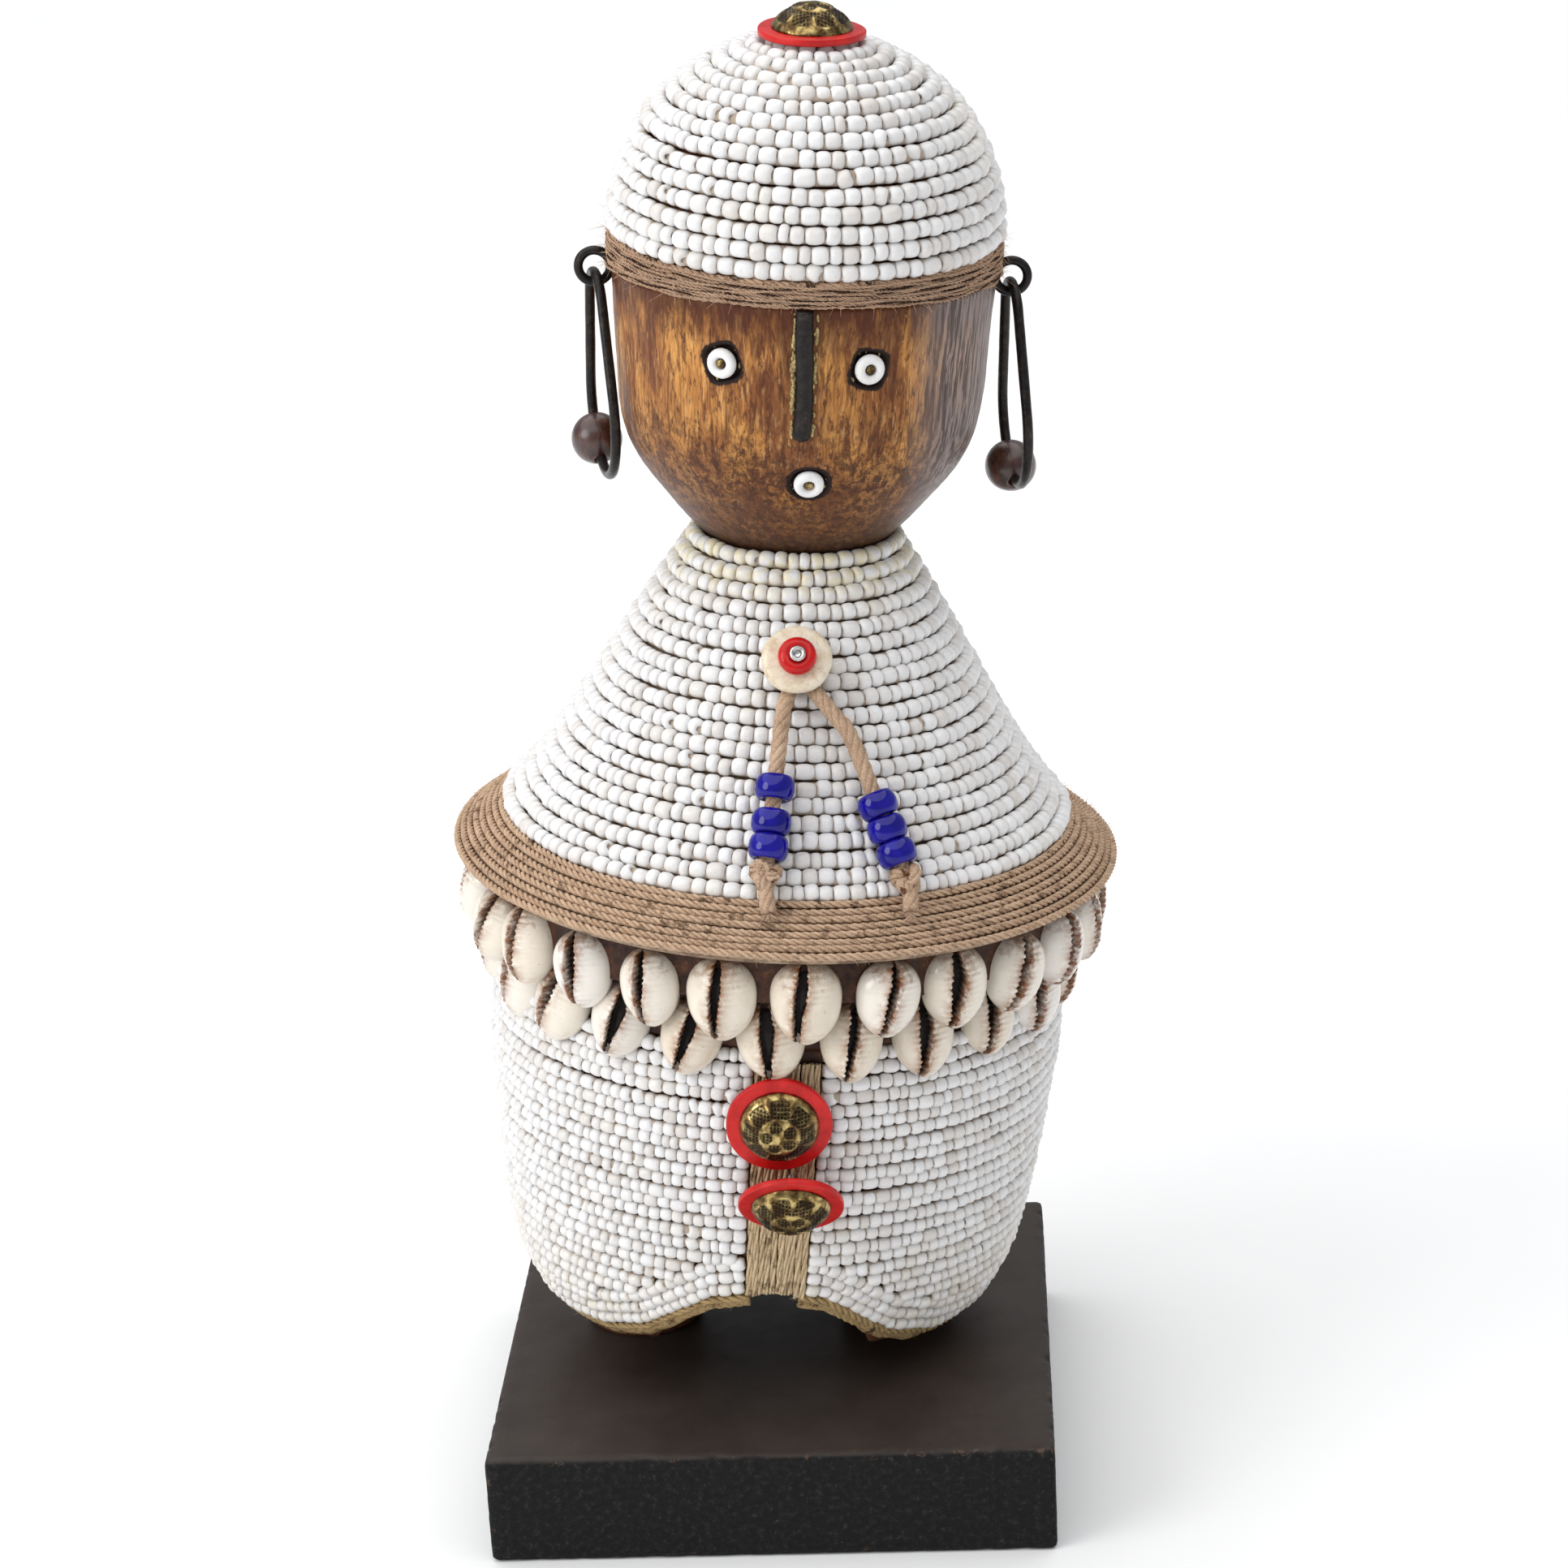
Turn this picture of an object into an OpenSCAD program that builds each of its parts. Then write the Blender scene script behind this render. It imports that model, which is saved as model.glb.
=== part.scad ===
// Beaded fertility doll on a square display block.
// Origin: centre of the block's underside. +Z up, -Y is the doll's front, +X is its left hand.

/* [Block] */
// Width and depth of the display block
block_w = 114; // [110:1:130]
// Height of the display block
block_h = 23; // [18:1:30]
// Radius of the mounting pins in the feet
mount_pin_r = 2; // [1.5:0.1:2.5]

/* [Figure] */
// Sideways lean of the figure on its block, in degrees
lean = 4.5; // [3.5:0.1:5]
// Turn of the figure about its own axis, in degrees
turn = 3; // [0:0.5:5]
// Shift of the figure's foot from the block's centre
foot_shift = -2; // [-4:0.5:0]
// Forward tilt of the cap on the head, in degrees
cap_tilt = 4.5; // [4:0.1:4.8]
// Largest radius of the head, just under the cap
head_r = 37.2; // [37:0.1:37.4]
// Height of the arch between the legs
arch_h = 30.5; // [28:0.5:31]

/* [Cap and cape beads] */
// Diameter of the white beads of the cap and cape
bead_d = 3.3; // [3:0.05:3.35]
// Number of bead rows on the cap
cap_rows = 15; // [13:1:15]
// Number of bead rows on the cape
cape_rows = 20; // [17:1:20]
// Diameter of the cords round the cap's rim
cap_cord_d = 1.6; // [1.4:0.05:1.6]
// Diameter of the cords round the cape's brim
brim_cord_d = 1.55; // [1.4:0.05:1.6]
// Number of cords round the cape's brim
brim_cords = 8; // [6:1:8]

/* [Trunk] */
// Depth of the beads' skin on the trunk
skin_t = 2.3; // [2:0.1:2.4]
// Height of the skin's upper edge above the block
skin_top = 80; // [78:0.5:80]
// Half width of the front cord band, in degrees round the trunk
band_half = 6.5; // [6:0.1:6.9]

/* [Studs] */
// Diameter of the red washers
washer_d = 20.6; // [20:0.1:21]
// Thickness of the red washers
washer_t = 1.4; // [1.2:0.1:1.6]
// Diameter of the domed buttons
button_d = 15.4; // [15:0.1:17.4]
// Height of the domed buttons
button_h = 5; // [4.5:0.1:5.5]

/* [Cowries] */
// Length of a cowrie shell
cowrie_l = 16.4; // [15:0.1:17.2]
// Width of a cowrie shell
cowrie_w = 12.6; // [11:0.1:12.8]
// Height of a cowrie shell above the cloth it is glued to
cowrie_t = 5; // [4:0.1:5.1]
// Shells in the upper row
upper_shells = 25; // [20:1:25]
// Shells in the lower row
lower_shells = 23; // [20:1:23]

/* [Earrings] */
// Thickness of the hoop wire
hoop_wire = 2; // [1.8:0.05:2.1]
// Height of the hoop between wire centres
hoop_h = 40; // [38:0.5:42]
// Radius of the hoop's narrow upper bend
hoop_top_r = 7; // [6:0.5:8]
// Radius of the hoop's wide lower bend
hoop_low_r = 13; // [12:0.5:13]
// Diameter of the wooden ball
ball_d = 10.2; // [9:0.1:10.4]

/* [Pendant and tassels] */
// Diameter of the bone disc
disc_d = 13.4; // [12:0.1:14]
// Diameter of the tassel cords
cord_d = 2.5; // [2.3:0.05:2.6]
// Diameter of the blue beads
blue_d = 7.2; // [6.8:0.1:7.3]
// Length of the blue beads along their cord
blue_l = 4.7; // [4.4:0.1:4.8]

/* [Hidden] */

gap = 0.05;
// Azimuth, radius, height and tilt of a seat on the figure
face_left = [-25.2, 36.4, 216.2, -3];
face_right = [19.2, 36.4, 216.1, -3];
face_mouth = [2.5, 32.6, 193.3, -24];
pendant_seat = [0.2, 18, 148.3, 32];
disc_lift = 17.9;
disc_rise = 2.7;
ring_rise = 4.95;
pin_rise = 8;
crown_z = 273;
band_mid = 1.2;
shell_first = 3;
upper_shell_r = 60.4;
upper_shell_h = 99.2;
lower_shell_r = 55.3;
lower_shell_h = 89.4;
nose_r = 1.8;
// Room between the round rows of beads and the form they are wound on
row_room = 0.2;
block_chamfer = 0.8;
nail_r = 0.8;
face_pin_r = 0.9;
bead_r = bead_d / 2;
ivory = [0.93, 0.92, 0.89];
honey = [0.55, 0.33, 0.13];
jute = [0.62, 0.48, 0.33];
iron = [0.16, 0.15, 0.14];
antique_brass = [0.42, 0.32, 0.15];
washer_red = [0.75, 0.05, 0.04];

// Centre line of the cap's bead rows, from the rim up to the crown: radius and height
cap_line = smooth_line([[37.1, 237.4], [36.4, 243.6], [34, 251], [30.5, 257.2], [26, 262.3],
    [20, 266.7], [13, 270], [7.2, 271.2]]);
// Centre line of the cape's bead rows, from the neck down to the brim
cape_line = smooth_line([[20, 174.4], [28.3, 161.3], [35.5, 149.3], [42.6, 137.3], [50.6, 125.4],
    [55.7, 119.4]]);
brim_start = [57.6, 117.9];
brim_dir = [0.78, -0.627];
brim_normal = [0.627, 0.78];
brim_pitch = 1.61;

// Outline of the turned head, from the neck up to the cap's rim
head_line = smooth_line([[15.2, 172.2], [21, 178], [26.3, 184], [31, 190], [34.3, 197], [35.7, 205],
    [36.2, 213], [36.8, 221], [head_r, 227.4]]);
cap_pivot = 231;
cord_seat_r = 36.3;
collar_low = 224.2;
collar_top = 235.4;
cap_cord_z = 228.65;
cap_cord_rise = 3.1;

// Radius of the trunk over its beads, from the foot up, before its front to back flattening
trunk_line = smooth_line([[23.6, 0], [32.8, 4], [41.7, 9], [47.9, 15], [52.6, 25], [55.5, 40],
    [57.2, 55], [58.7, 70], [58.7, 84]], 3);
trunk_shift = -2;
trunk_drift = 0.016;
flat_low = 0.80;
flat_high = 0.95;
flat_top = 75;
neck_seat = 74.5;
hem_line = [[0, 31], [13, 28.5], [22, 23], [30, 18], [45, 14], [60, 13], [90, 15], [120, 13], [135, 14],
    [150, 18], [158, 23], [167, 28.5], [180, 31]];
arch_line = [[0, arch_h], [13, 27.5], [18, 21.5], [21, 12], [22.5, 4], [23, -4]];
foot_r = 13;
foot_h = 14;
foot_x = 27;
foot_y = 7;

// Tassel routes in the figure's own frame, from behind the disc to the frayed end
left_route = [[-0.8, -35.4, 156.2], [-1.4, -38.2, 152.8], [-2.4, -41.9, 149.5], [-4.56, -55.26, 128.5],
    [-5, -58, 124.2], [-4.8, -60, 121], [-4.3, -61.4, 117.9]];
right_route = [[1.4, -35.4, 156.2], [5.2, -38.4, 152.3], [8.4, -40.7, 149.1], [11.1, -42.8, 145.7],
    [19.8, -52.3, 126.9], [21.6, -54.3, 123], [22.5, -56, 120], [22.6, -57.8, 117.4]];
left_low = left_route[3];
left_up = unit(left_route[2] - left_route[3]);
right_low = right_route[4];
right_up = unit(right_route[3] - right_route[4]);
knot_drop = 5.2;
knot_r = 2.7;
knot_room = 0.45;

// Earrings: hinge points in the figure's frame, then the true vertical
eye_r = 3.1;
eye_wire = 1.8;
eye_z = 226.9;
left_eye = [-40.5, 0, eye_z];
right_eye = [40.2, 0, eye_z + 0.2];
left_yaw = 15;
right_yaw = 10;
left_ball_turn = 40;
right_ball_turn = 60;
hinge_rise = eye_wire / 2 + hoop_wire / 2 + gap - eye_r;

function unit(v) = v / norm(v);
function spline(a, b, c, d, t) = 0.5 * (2 * b + (c - a) * t + (2 * a - 5 * b + 4 * c - d) * t * t
    + (3 * b - a - 3 * c + d) * t * t * t);
function smooth_line(p, n = 4) = [
    for (i = [0:len(p) - 2]) for (k = [0:n - 1])
        spline(p[max(i - 1, 0)], p[i], p[i + 1], p[min(i + 2, len(p) - 1)], k / n),
    p[len(p) - 1]];
function run_of(p) = [for (i = 0, s = 0; i < len(p);
    s = s + (i + 1 < len(p) ? norm(p[i + 1] - p[i]) : 0), i = i + 1) s];
function place_on(p, runs, s) = let (k = max([for (i = [0:len(runs) - 2]) if (runs[i] <= s + 1e-6) i]))
    p[k] + (p[k + 1] - p[k]) * (s - runs[k]) / (runs[k + 1] - runs[k]);
// Outward normal of a line that runs down and out, and a copy of the line moved along it
function out_normal(p, i) = let (t = unit(p[min(i + 1, len(p) - 1)] - p[max(i - 1, 0)])) [-t[1], t[0]];
function moved(p, d) = [for (i = [0:len(p) - 1]) p[i] + out_normal(p, i) * d];
function reversed(p) = [for (i = [len(p) - 1:-1:0]) p[i]];

// Trunk surface: azimuth from the front in degrees, height, and depth below the beads' outside
function trunk_radius(h) = lookup(h, [for (p = trunk_line) [p[1], p[0]]]);
function flatness(h) = flat_low + (flat_high - flat_low) * min(max(h / flat_top, 0), 1);
function trunk_point(az, h, deep) = let (r = trunk_radius(h) - deep)
    [trunk_shift + trunk_drift * h + r * sin(az), -flatness(h) * r * cos(az), h];
function hem_height(az) = lookup(abs(az), hem_line);

// A point of the figure's frame in the frame of the whole part
function about_z(p, a) = [p[0] * cos(a) - p[1] * sin(a), p[0] * sin(a) + p[1] * cos(a), p[2]];
function about_y(p, a) = [p[0] * cos(a) + p[2] * sin(a), p[1], p[2] * cos(a) - p[0] * sin(a)];
function standing(p) = about_y(about_z(p, turn), lean) + [foot_shift, 0, block_h];

// Triangles of a grid of points, rows x columns, that closes round its columns or not
function grid_faces(rows, cols, start, flip, wrap = false) = [
    for (i = [0:rows - 2]) for (j = [0:cols - (wrap ? 1 : 2)])
        let (a = start + i * cols + j, b = start + i * cols + (j + 1) % cols, c = a + cols, d = b + cols)
        each (flip ? [[a, b, d], [a, d, c]] : [[a, d, b], [a, c, d]])];

module in_figure() {
    translate([foot_shift, 0, block_h]) rotate([0, lean, 0]) rotate([0, 0, turn]) children();
}

// Tilts children forward about the middle of the cap's rim
module tilted(a) {
    translate([0, 0, cap_pivot]) rotate([a, 0, 0]) translate([0, 0, -cap_pivot]) children();
}

module in_cap() {
    in_figure() tilted(cap_tilt) children();
}

// Places children at a seat on the figure, sunk by some depth along its axis, with +Z out
module on_surface(seat, sunk = 0) {
    rotate([0, 0, seat[0]]) translate([0, -seat[1], seat[2]]) rotate([90 - seat[3], 0, 0])
        translate([0, 0, -sunk]) children();
}

module ring(r, z, d) {
    translate([0, 0, z]) rotate_extrude($fn = 96) translate([r, 0]) circle(d = d, $fn = 24);
}

module bead_rings(line, count) {
    runs = run_of(line);
    pitch = runs[len(runs) - 1] / (count - 1);
    for (i = [0:count - 1]) {
        q = place_on(line, runs, min(i * pitch, runs[len(runs) - 1] - 1e-4));
        ring(q[0], q[1], bead_d);
    }
}

// Closed strip of the trunk's skin between two azimuths, from a lower edge to an upper one
module trunk_skin(az_from, az_to, az_steps, low, high, deep_out, deep_in, h_steps) {
    cols = h_steps + 1;
    rows = az_steps + 1;
    sheet = rows * cols;
    function level(az, j) = low == undef
        ? hem_height(az) + (high - hem_height(az)) * j / h_steps
        : hem_height(az) - low + (low - high) * j / h_steps;
    points = [for (deep = [deep_out, deep_in]) for (i = [0:az_steps])
        let (az = az_from + (az_to - az_from) * i / az_steps)
        for (j = [0:h_steps]) trunk_point(az, level(az, j), deep)];
    faces = concat(grid_faces(rows, cols, 0, false), grid_faces(rows, cols, sheet, true),
        [for (i = [0:rows - 2]) each edge_pair(i * cols, (i + 1) * cols, sheet, true)],
        [for (i = [0:rows - 2]) each edge_pair(i * cols + h_steps, (i + 1) * cols + h_steps, sheet, false)],
        [for (j = [0:cols - 2]) each edge_pair(j, j + 1, sheet, false)],
        [for (j = [0:cols - 2]) each edge_pair((rows - 1) * cols + j, (rows - 1) * cols + j + 1, sheet, true)]);
    polyhedron(points, faces, convexity = 6);
}

function edge_pair(a, b, deep, flip) = flip
    ? [[a, a + deep, b], [b, a + deep, b + deep]] : [[a, b, a + deep], [b, b + deep, a + deep]];

// Tube of eight sides swept along a route
module tube(route, d) {
    sides = 8;
    n = len(route);
    rings = [for (i = [0:n - 1])
        let (t = unit(route[min(i + 1, n - 1)] - route[max(i - 1, 0)]), u = unit(cross(t, [1, 0, 0])),
            v = cross(t, u))
        for (k = [0:sides - 1]) route[i] + (u * cos(360 * k / sides) + v * sin(360 * k / sides)) * d / 2];
    faces = concat(grid_faces(n, sides, 0, false, true),
        [[for (k = [0:sides - 1]) k]], [[for (k = [sides - 1:-1:0]) (n - 1) * sides + k]]);
    polyhedron(rings, faces, convexity = 4);
}

// Turns +Z to a direction
module along(v) {
    rotate([0, acos(v[2] / norm(v)), atan2(v[1], v[0])]) children();
}

/* ---------- block and carved figure ---------- */

module mount_holes(r, rise, sink) {
    for (side = [-1, 1]) translate([foot_shift + side * foot_x, foot_y, block_h - sink])
        cylinder(r = r, h = rise + sink, $fn = 32);
}

module display_block() color([0.07, 0.065, 0.06]) difference() {
    w = block_w / 2;
    c = w - block_chamfer;
    linear_extrude(block_h) polygon([[-w, -c], [-c, -w], [c, -w], [w, -c], [w, c], [c, w], [-c, w], [-w, c]]);
    mount_holes(mount_pin_r + gap, 5, 12);
}

module mounting_pins() color("silver") mount_holes(mount_pin_r, 9.8, 11.8);

module trunk_core() {
    sides = 72;
    levels = [for (p = trunk_line) if (p[1] <= 79.5) p[1]];
    points = [for (h = levels) for (k = [0:sides - 1]) trunk_point(360 * k / sides, h, skin_t + 0.5)];
    rows = len(levels);
    faces = concat(grid_faces(rows, sides, 0, false, true),
        [[for (k = [sides - 1:-1:0]) k]], [[for (k = [0:sides - 1]) (rows - 1) * sides + k]]);
    polyhedron(points, faces, convexity = 4);
}

module upper_core() {
    under_cape = moved(cape_line, -bead_r - 2.5);
    outline = concat([[0, 60], [45, 60], [45, neck_seat], [52.8, neck_seat], [52.8, 112]], reversed(under_cape),
        head_line, [[0, 227.4]]);
    rotate_extrude($fn = 96) polygon(outline);
}

module cap_core() {
    collar_r = cord_seat_r - 0.2;
    dome = moved(reversed(cap_line), -bead_r - row_room);
    outline = concat([[0, collar_low], [collar_r, collar_low], [collar_r, collar_top]], reversed(dome),
        [[0, 269.3]]);
    rotate_extrude($fn = 96) polygon(outline);
}

module arch_tunnel() {
    half = smooth_line(arch_line, 3);
    outline = concat([for (p = reversed(half)) [-p[0], p[1]]], [for (p = half) if (p[0] > 0) p]);
    translate([trunk_shift, 0, 0]) rotate([90, 0, 0]) linear_extrude(150, center = true) polygon(outline);
}

module face_seat(seat) {
    on_surface(seat, 1) cylinder(d = 7.6, h = 6, $fn = 48);
    on_surface(seat, 8.1) cylinder(r = face_pin_r + gap, h = 9, $fn = 24);
}

module nose_shape(r) {
    top = [37.1, 227.5];
    low = [35.5, 203.8];
    rotate([0, 0, -0.5]) translate([0, -low[0], low[1]]) {
        rotate([atan2(top[0] - low[0], top[1] - low[1]), 0, 0]) cylinder(r = r, h = norm(top - low), $fn = 32);
        sphere(r = r, $fn = 32);
    }
}

module shank(p, side, r) {
    translate(p + [-side * eye_r, 0, 0]) rotate([0, -side * 90, 0]) cylinder(r = r, h = 8, $fn = 24);
}

module carved_figure() color(honey) difference() {
    union() {
        in_figure() difference() {
            union() {
                trunk_core();
                upper_core();
                tilted(cap_tilt) cap_core();
            }
            arch_tunnel();
        }
        for (side = [-1, 1]) translate([foot_shift + side * foot_x, foot_y, block_h])
            cylinder(r1 = foot_r - 1, r2 = foot_r, h = foot_h, $fn = 64);
    }
    translate([0, 0, block_h - 20]) cube([200, 200, 40], center = true);
    mount_holes(mount_pin_r + gap, 10, 1);
    in_figure() {
        for (seat = [face_left, face_right, face_mouth]) face_seat(seat);
        nose_shape(nose_r + gap);
        shank(left_eye, -1, eye_wire / 2 + gap);
        shank(right_eye, 1, eye_wire / 2 + gap);
        for (p = [left_eye, right_eye]) eye_ring(p, eye_wire + 2 * gap);
        tilted(cap_tilt) translate([0, 0, 255]) cylinder(r = nail_r + gap, h = 20, $fn = 24);
        on_surface(pendant_seat) cylinder(r = nail_r + gap, h = 20, $fn = 24);
        upper_stud() nail_shaft(nail_r + gap, 13);
        lower_stud() nail_shaft(nail_r + gap, 19);
    }
}

/* ---------- face ---------- */

module face_bead(seat) color(ivory) in_figure() on_surface(seat, 0.95) difference() {
    rotate_extrude($fn = 48) translate([1.95, 1.1]) circle(r = 0.95, $fn = 24);
    translate([0, 0, -1]) cylinder(r = face_pin_r + 0.02, h = 5, $fn = 24);
}

module eye_bead_left() face_bead(face_left);
module eye_bead_right() face_bead(face_right);
module mouth_bead() face_bead(face_mouth);

module face_pins() color(antique_brass) in_figure() for (seat = [face_left, face_right, face_mouth])
    on_surface(seat, 8) cylinder(r = face_pin_r, h = 8.9, $fn = 24);

module nose_bar() color(iron) in_figure() nose_shape(nose_r);

/* ---------- cap and crown ---------- */

module cap_bead_rows() color(ivory) in_cap() bead_rings(cap_line, cap_rows);

module cap_rim_cords() color(jute) in_figure() difference() {
    for (i = [0:2]) tilted(cap_tilt * i / 2)
        ring(cord_seat_r + cap_cord_d / 2 + gap, cap_cord_z + i * cap_cord_rise, cap_cord_d);
    for (p = [left_eye, right_eye]) translate(p) rotate([90, 0, 0])
        cylinder(r = eye_r + eye_wire / 2 + gap, h = eye_wire + 2 * gap, center = true, $fn = 48);
}

module washer() color(washer_red) difference() {
    cylinder(d = washer_d, h = washer_t, $fn = 96);
    translate([0, 0, -1]) cylinder(r = nail_r + gap, h = washer_t + 2, $fn = 24);
}

module button_dome() {
    r = (pow(button_d / 2, 2) + pow(button_h, 2)) / (2 * button_h);
    color(antique_brass) difference() {
        intersection() {
            translate([0, 0, button_h - r]) sphere(r = r, $fn = 64);
            cylinder(d = button_d + 1, h = button_h + 1, $fn = 64);
        }
        intersection() {
            translate([0, 0, button_h - r]) sphere(r = r - 0.9, $fn = 64);
            translate([0, 0, -1]) cylinder(d = button_d, h = button_h + 2, $fn = 64);
        }
    }
}

// Nail of a stud: head inside the dome, shaft down through the washer
module nail_shaft(r, depth) {
    translate([0, 0, -depth]) cylinder(r = r, h = depth + 1, $fn = 24);
}

module nail(depth) color("dimgray") {
    nail_shaft(nail_r, depth);
    translate([0, 0, washer_t + gap]) cylinder(r = 3, h = 1.2, $fn = 32);
    translate([0, 0, 0.5]) cylinder(r = nail_r, h = washer_t, $fn = 24);
}

module crown_washer() in_cap() translate([0, 0, crown_z]) washer();
module crown_button() in_cap() translate([0, 0, crown_z + washer_t + gap]) button_dome();
module crown_nail() in_cap() translate([0, 0, crown_z]) nail(15);

/* ---------- earrings ---------- */

module eye_ring(p, d) {
    translate(p) rotate([90, 0, 0]) rotate_extrude($fn = 64) translate([eye_r, 0]) circle(d = d, $fn = 24);
}

module wire_eye(p, side) color(iron) in_figure() {
    eye_ring(p, eye_wire);
    difference() {
        shank(p, side, eye_wire / 2);
        translate(p) rotate([90, 0, 0]) cylinder(r = eye_r, h = 4, center = true, $fn = 64);
    }
}

module earring_eye_left() wire_eye(left_eye, -1);
module earring_eye_right() wire_eye(right_eye, 1);

// Centre line of the hoop in the YZ plane, hanging from its top wire centre at the origin
function hoop_line(steps = 48) = let (reach = hoop_h - hoop_top_r - hoop_low_r,
    lean_out = asin((hoop_low_r - hoop_top_r) / reach)) [
    for (k = [0:steps / 2]) let (t = lean_out + (180 - 2 * lean_out) * k / (steps / 2))
        [0, hoop_top_r * cos(t), -hoop_top_r + hoop_top_r * sin(t)],
    for (k = [0:steps / 2]) let (t = 180 - lean_out + (180 + 2 * lean_out) * k / (steps / 2))
        [0, hoop_low_r * cos(t), -hoop_top_r - reach + hoop_low_r * sin(t)]];

// Wire bent to a closed line in the YZ plane
module hoop() {
    line = hoop_line();
    sides = 10;
    n = len(line);
    points = [for (i = [0:n - 1]) let (u = cross(unit(line[(i + 1) % n] - line[(i + n - 1) % n]), [1, 0, 0]))
        for (k = [0:sides - 1])
            line[i] + (u * cos(360 * k / sides) + [sin(360 * k / sides), 0, 0]) * hoop_wire / 2];
    faces = concat(grid_faces(n, sides, 0, false, true), [for (k = [0:sides - 1])
        let (a = (n - 1) * sides + k, b = (n - 1) * sides + (k + 1) % sides, c = k, d = (k + 1) % sides)
        each [[a, d, b], [a, c, d]]]);
    polyhedron(points, faces, convexity = 6);
}

function hinge_point(eye) = standing(eye + [0, 0, hinge_rise]);

function ball_place(turned) = [0, hoop_low_r * cos(turned), -(hoop_h - hoop_low_r) - hoop_low_r * sin(turned)];

module hang(eye, yaw) {
    translate(hinge_point(eye)) rotate([0, 0, yaw]) children();
}

module ball_piece(turned) color([0.25, 0.11, 0.07]) difference() {
    translate(ball_place(turned)) sphere(d = ball_d, $fn = 64);
    ball_bore();
}

// Bore of the ball: the bent wire with running room
module ball_bore() {
    translate([0, 0, -hoop_h + hoop_low_r]) rotate([90, 0, 90])
        rotate([0, 0, -110]) rotate_extrude(angle = 140, $fn = 96) translate([hoop_low_r, 0])
            circle(d = hoop_wire + 2 * gap, $fn = 24);
}

module earring_hoop_left() color(iron) hang(left_eye, left_yaw) hoop();
module earring_hoop_right() color(iron) hang(right_eye, right_yaw) hoop();
module earring_ball_left() hang(left_eye, left_yaw) ball_piece(left_ball_turn);
module earring_ball_right() hang(right_eye, right_yaw) ball_piece(right_ball_turn);

/* ---------- cape ---------- */

module pendant_bore(r) {
    on_surface(pendant_seat) cylinder(r = r, h = 30, $fn = 24);
}

module cape_form() color([0.2, 0.13, 0.08]) in_figure() difference() {
    outer = concat(moved(cape_line, -bead_r - row_room), [brim_start - [2.7, 0.5]],
        [for (i = [0, brim_cords - 1])
            brim_start + brim_dir * brim_pitch * i - brim_normal * (brim_cord_d / 2 + gap)]);
    rim = brim_start + brim_dir * brim_pitch * (brim_cords - 1) - brim_normal * 2.6;
    inner = concat(moved(cape_line, -bead_r - 2.1), [rim]);
    rotate_extrude($fn = 96) polygon(concat(outer, reversed(inner)));
    pendant_bore(nail_r + gap);
}

module cape_bead_rows() color(ivory) in_figure() difference() {
    bead_rings(cape_line, cape_rows);
    pendant_bore(nail_r + gap);
}

module cape_brim_cords() color(jute) in_figure() for (i = [0:brim_cords - 1]) {
    q = brim_start + brim_dir * brim_pitch * i;
    ring(q[0], q[1], brim_cord_d);
}

/* ---------- pendant and tassels ---------- */

module pendant_place(rise) {
    on_surface(pendant_seat) translate([0, 0, disc_lift + rise]) children();
}

module pendant_disc() color([0.85, 0.79, 0.66]) in_figure() pendant_place(disc_rise) difference() {
    union() {
        cylinder(d = disc_d - 1, h = 2.2, $fn = 64);
        translate([0, 0, 0.5]) cylinder(d = disc_d, h = 1.2, $fn = 64);
    }
    translate([0, 0, -1]) cylinder(r = nail_r + gap, h = 5, $fn = 24);
}

module pendant_ring_bead() color(washer_red) in_figure() pendant_place(ring_rise) difference() {
    rotate_extrude($fn = 64) translate([2.2, 1.5]) circle(r = 1.5, $fn = 24);
    translate([0, 0, -1]) cylinder(r = nail_r + gap, h = 5, $fn = 24);
}

module pendant_pin() color("silver") in_figure() {
    on_surface(pendant_seat) translate([0, 0, 2]) cylinder(r = nail_r, h = disc_lift + pin_rise - 2, $fn = 24);
    pendant_place(pin_rise) cylinder(r = 1.5, h = 0.8, $fn = 32);
}

module tassel_cord_left() color(jute) in_figure() tube(left_route, cord_d);
module tassel_cord_right() color(jute) in_figure() tube(right_route, cord_d);

module blue_bead() difference() {
    intersection() {
        sphere(d = blue_d, $fn = 48);
        cube([blue_d + 1, blue_d + 1, blue_l], center = true);
    }
    cylinder(r = cord_d / 2 + 0.3, h = blue_l + 1, center = true, $fn = 32);
}

module bead_stack(low, up, lifts) color([0.05, 0.06, 0.6]) in_figure() for (s = lifts)
    translate(low + up * s) along(up) blue_bead();

module tassel_beads_left() bead_stack(left_low, left_up, [0, 4.9, 11.6]);
module tassel_beads_right() bead_stack(right_low, right_up, [0, 4.9, 9.8]);

module knot(low, up) color(jute) in_figure() translate(low - up * knot_drop) along(up) difference() {
    sphere(r = knot_r, $fn = 48);
    cylinder(r = cord_d / 2 + knot_room, h = 8, center = true, $fn = 32);
}

module tassel_knot_left() knot(left_low, left_up);
module tassel_knot_right() knot(right_low, right_up);

/* ---------- cowries ---------- */

module cowrie_band() color([0.13, 0.07, 0.05]) in_figure() rotate_extrude($fn = 96)
    polygon([[53.1, 80.3], [53.6, 80.3], [53.6, 86], [lower_shell_r - 0.1, 87.5], [lower_shell_r - 0.1, 98],
        [upper_shell_r - 0.2, 98.8], [upper_shell_r - 0.2, 110.5], [53.1, 110.5]]);

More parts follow.
